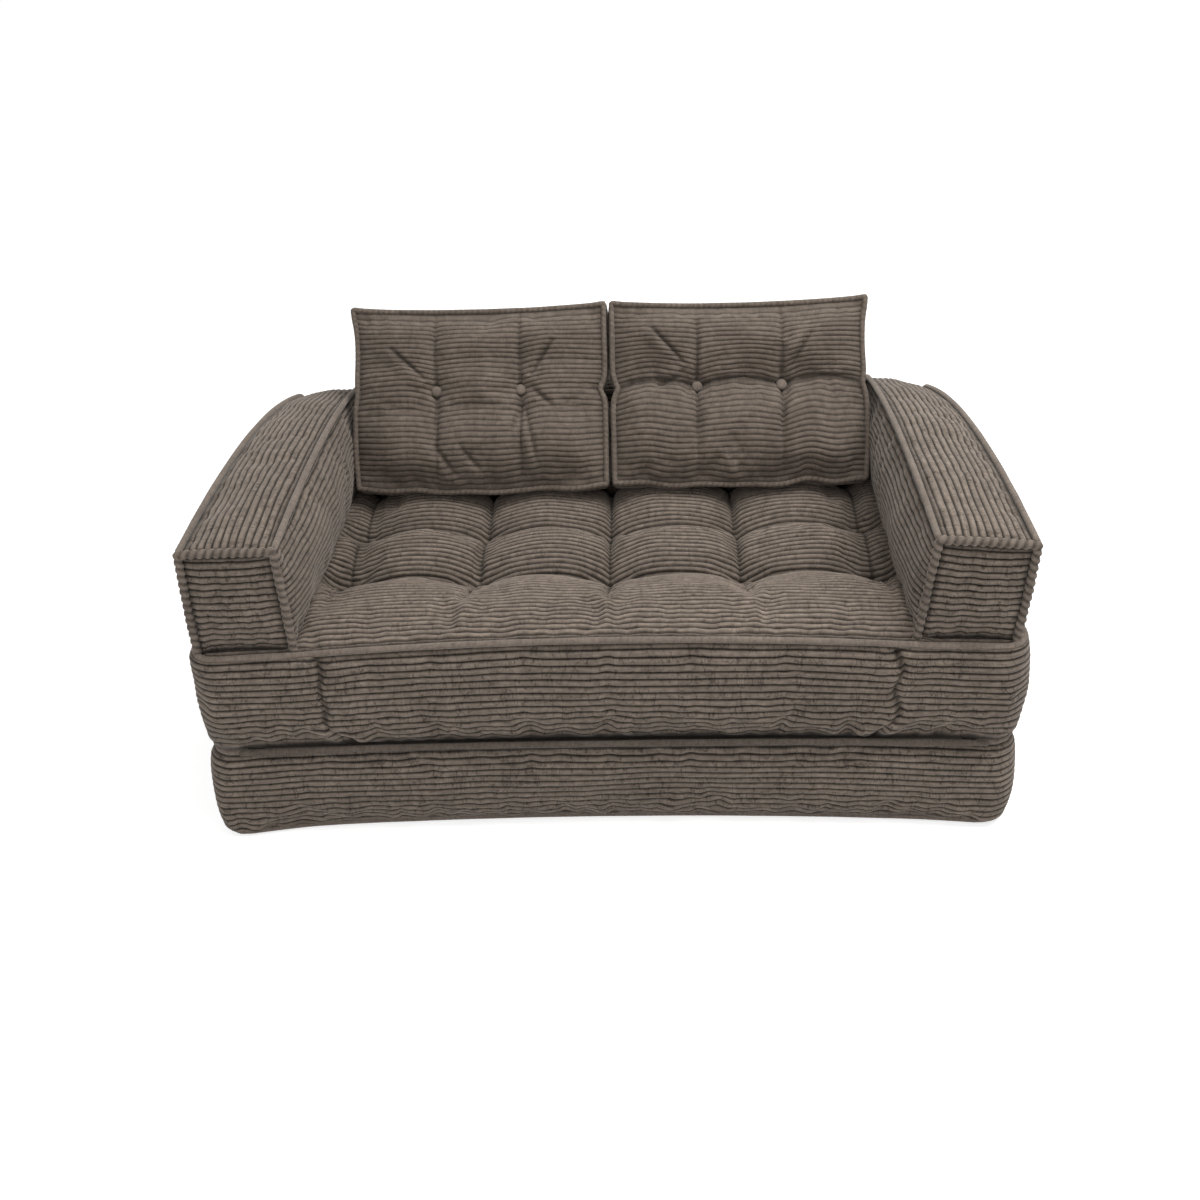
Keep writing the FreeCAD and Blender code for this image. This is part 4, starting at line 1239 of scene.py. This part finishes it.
def pillow_ribs(side, sign, panels):
    """The three ribbed panels of one pillow, still lying flat."""
    crease, folds = pillow_creases[side], pillow_folds[side]

    def pad_folds(u, v, x, y, z):
        push = fold_push(x, y, folds) + 0.004 * swells(*u.shape, (7, 9), 61 + sign)
        push += 0.004 * crease * swells(*u.shape, (6, 40), 63 + sign) * near(y - pillow_row, 0.04)
        push += 0.005 * swells(*u.shape, (6, 26), 67 + sign) * near(y, 0.05)
        return push - 0.009 * pad_lines(x, y, crease)

    # Painted shade in the sewn crease, the channels and deep in the folds.
    def pad_shadow(u, v, x, y, z):
        in_folds = np.clip(-fold_push(x, y, folds) / 0.008, 0, 1)
        return np.maximum(0.85 * pad_lines(x, y, crease), 0.9 * in_folds ** 1.4)

    def pad_arch(u, v, x, y, z):
        """Ribs and crease arch up between the buttons and the sides."""
        reach = np.clip(1 - np.abs(y - pillow_row) / 0.15, 0, 1)
        return (0.008 + 0.007 * crease) * (1 - pad_share(x) ** 2) * ramp_up(reach, 0, 1)

    def band_slot(u, v, x, y, z):
        """The bottom is drawn in round the zip."""
        return np.minimum(y - 0.004, 0) * (y < 0.05) * zip_slot("pillow", x, z)

    middle = np.array((0, pillow_tall / 2, 0.03))
    return [corduroy_panel(panels["front"], middle, step=0.0042, shape=pad_folds, drift=pad_arch,
                           dark=pad_shadow, seed=64 + sign, depth=front_rib_depth, pitch=front_pitch,
                           seam=0.3, hem_ribs=0.4),
            corduroy_panel(panels["band"], middle, closed=True, shape=band_slot, seed=66 + sign,
                           depth=back_rib_depth),
            corduroy_panel(panels["back"], middle, seed=68 + sign, depth=back_rib_depth)]


print("front pads have", round(pillow_tall / front_pitch), "ribs")


# %% Make both pillows
def pillow_cords(sign, seams):
    cords = []
    for ring, height in zip(seams, (-0.002, pillow_boxing + 0.002)):
        flat = ring[:-1] + unit(ring[:-1] - [0, pillow_tall / 2]) * 0.0040
        cords.append(cord_tube(raised(flat, height), 0.0054, closed=True, twist=0.07, seed=70 + sign,
                               pale=0.45))
    return cords


for side, sign in both_sides:
    name = side + "_pillow"
    panels, seams = pillows[side]
    make_piece(name + "_cushion", leaning(pillow_ribs(side, sign, panels), sign), pillow_cloth, name,
               [name + part for part in ("_boxing", "_front_panel", "_back_panel", "_core")])
    make_piece(name + "_cord", leaning(pillow_cords(sign, seams), sign), pillow_cloth, name,
               (name + "_piping",))

# %% [markdown]
# Covered buttons hold the tufts: a flat dome of the same cloth. A squashed sphere would show no rim. A
# lathe profile turned about its axis is enough, with the rib attribute falling off towards the edge as
# painted shade, so that its rim reads as a dark ring where it sinks into the cloth.


# %% Buttons
def dome(radius, height, place, seed):
    rings, spokes = 7, 20
    t = np.linspace(0, 1, rings)
    reach = radius * np.sin(t * np.pi / 2) ** 0.9
    rise = height * np.cos(t * np.pi / 2) ** 0.8
    angle = np.linspace(0, 2 * np.pi, spokes + 1)
    points = np.stack([reach[:, None] * np.cos(angle), reach[:, None] * np.sin(angle),
                       rise[:, None] * np.ones(spokes + 1)], -1).reshape(-1, 3) + place
    index = np.arange(rings * (spokes + 1)).reshape(rings, spokes + 1)
    # Painted shade: the rib attribute falls off towards the rim.
    return points, quads_of(index.T), points[:, :2] + seed, np.repeat(1 - 0.7 * t ** 4, spokes + 1)


button_sunk = [0, 0, -0.010]
seat_domes = []
for row in (row_a, row_b):
    for number, column in enumerate(tuft_columns, -2):
        crossing = seat_panels["top"][np.argmin(np.abs(plan_y - row)), np.argmin(np.abs(plan_x - column))]
        seat_domes.append(dome(0.008, 0.007, crossing + button_sunk, 80 + number))
make_piece("seat_covered_buttons", seat_domes, cord_cloth, "seat", ("seat_buttons",))

for side, sign in both_sides:
    crease = pillow_creases[side]
    height = float(front_height(np.array(channel), np.array(pillow_row), crease))
    height += pillow_boxing + 0.006 * (1 - crease)
    domes = [dome(0.0115, 0.008, np.array((x, pillow_row, height)), 85) for x in (-channel, channel)]
    make_piece(side + "_pillow_covered_buttons", leaning(domes, sign), cord_cloth, side + "_pillow",
               (side + "_pillow_buttons",))

# %% [markdown]
# Behind the pillows a wedge fills the space down to the seat. Its sloping front carries the pillows and is
# hidden, so the work goes into its back, top and ends. It is one more six-sided cushion, whose front side
# lies in the plane of the pillows' backs.

# %% The back wedge
wedge_low, wedge_high, wedge_rear, wedge_half = 0.4053, 0.5803, 0.4355, 0.5457
wedge_behind_pillow = 0.0343


def wedge_place(a, b, c):
    slope = math.radians(pillow_lean)
    z = wedge_low + c * (wedge_high - wedge_low)
    foremost = pillow_foot_y + (z - pillow_foot_z) * math.tan(slope) + wedge_behind_pillow / math.cos(slope)
    y = foremost + b * (wedge_rear - foremost)
    x = -wedge_half + a * 2 * wedge_half
    return np.stack([x, y, z], -1)


def wedge_rear_shape(u, v, x, y, z):
    return -0.015 * zip_slot("wedge", x, z)


wedge_crowns = {"left": 0.005, "right": 0.005, "front": 0.0, "rear": 0.004, "floor": 0.0, "top": 0.009}
wedge = block_sides(wedge_place, (56, 10, 10), wedge_crowns)
wedge["top"] = np.swapaxes(wedge["top"], 0, 1).copy()
wedge_masks = {key: edges_pinned(grid) for key, grid in wedge.items()}
for key in ("front", "floor"):
    wedge_masks[key][:] = True
inflate("back_wedge", wedge, wedge_masks, pressure=1.2, spare=0.015, cap=0.006)
wedge_middle = np.array((0, 0.36, 0.49))
wedge_panels = [corduroy_panel(grid, wedge_middle, step=0.012, seed=90 + number,
                               shape=wedge_rear_shape if key == "rear" else None)
                for number, (key, grid) in enumerate(wedge.items())]
make_piece("back_wedge_cushion", wedge_panels, corduroy_cloth, "seat",
           ("back_wedge_cover", "back_wedge_core"))
wedge_seam = wedge["rear"][-1] + [0, 0.003, 0.003]
make_piece("back_wedge_cord", [cord_tube(wedge_seam, seed=96)], cord_cloth, "seat", ("back_wedge_piping",))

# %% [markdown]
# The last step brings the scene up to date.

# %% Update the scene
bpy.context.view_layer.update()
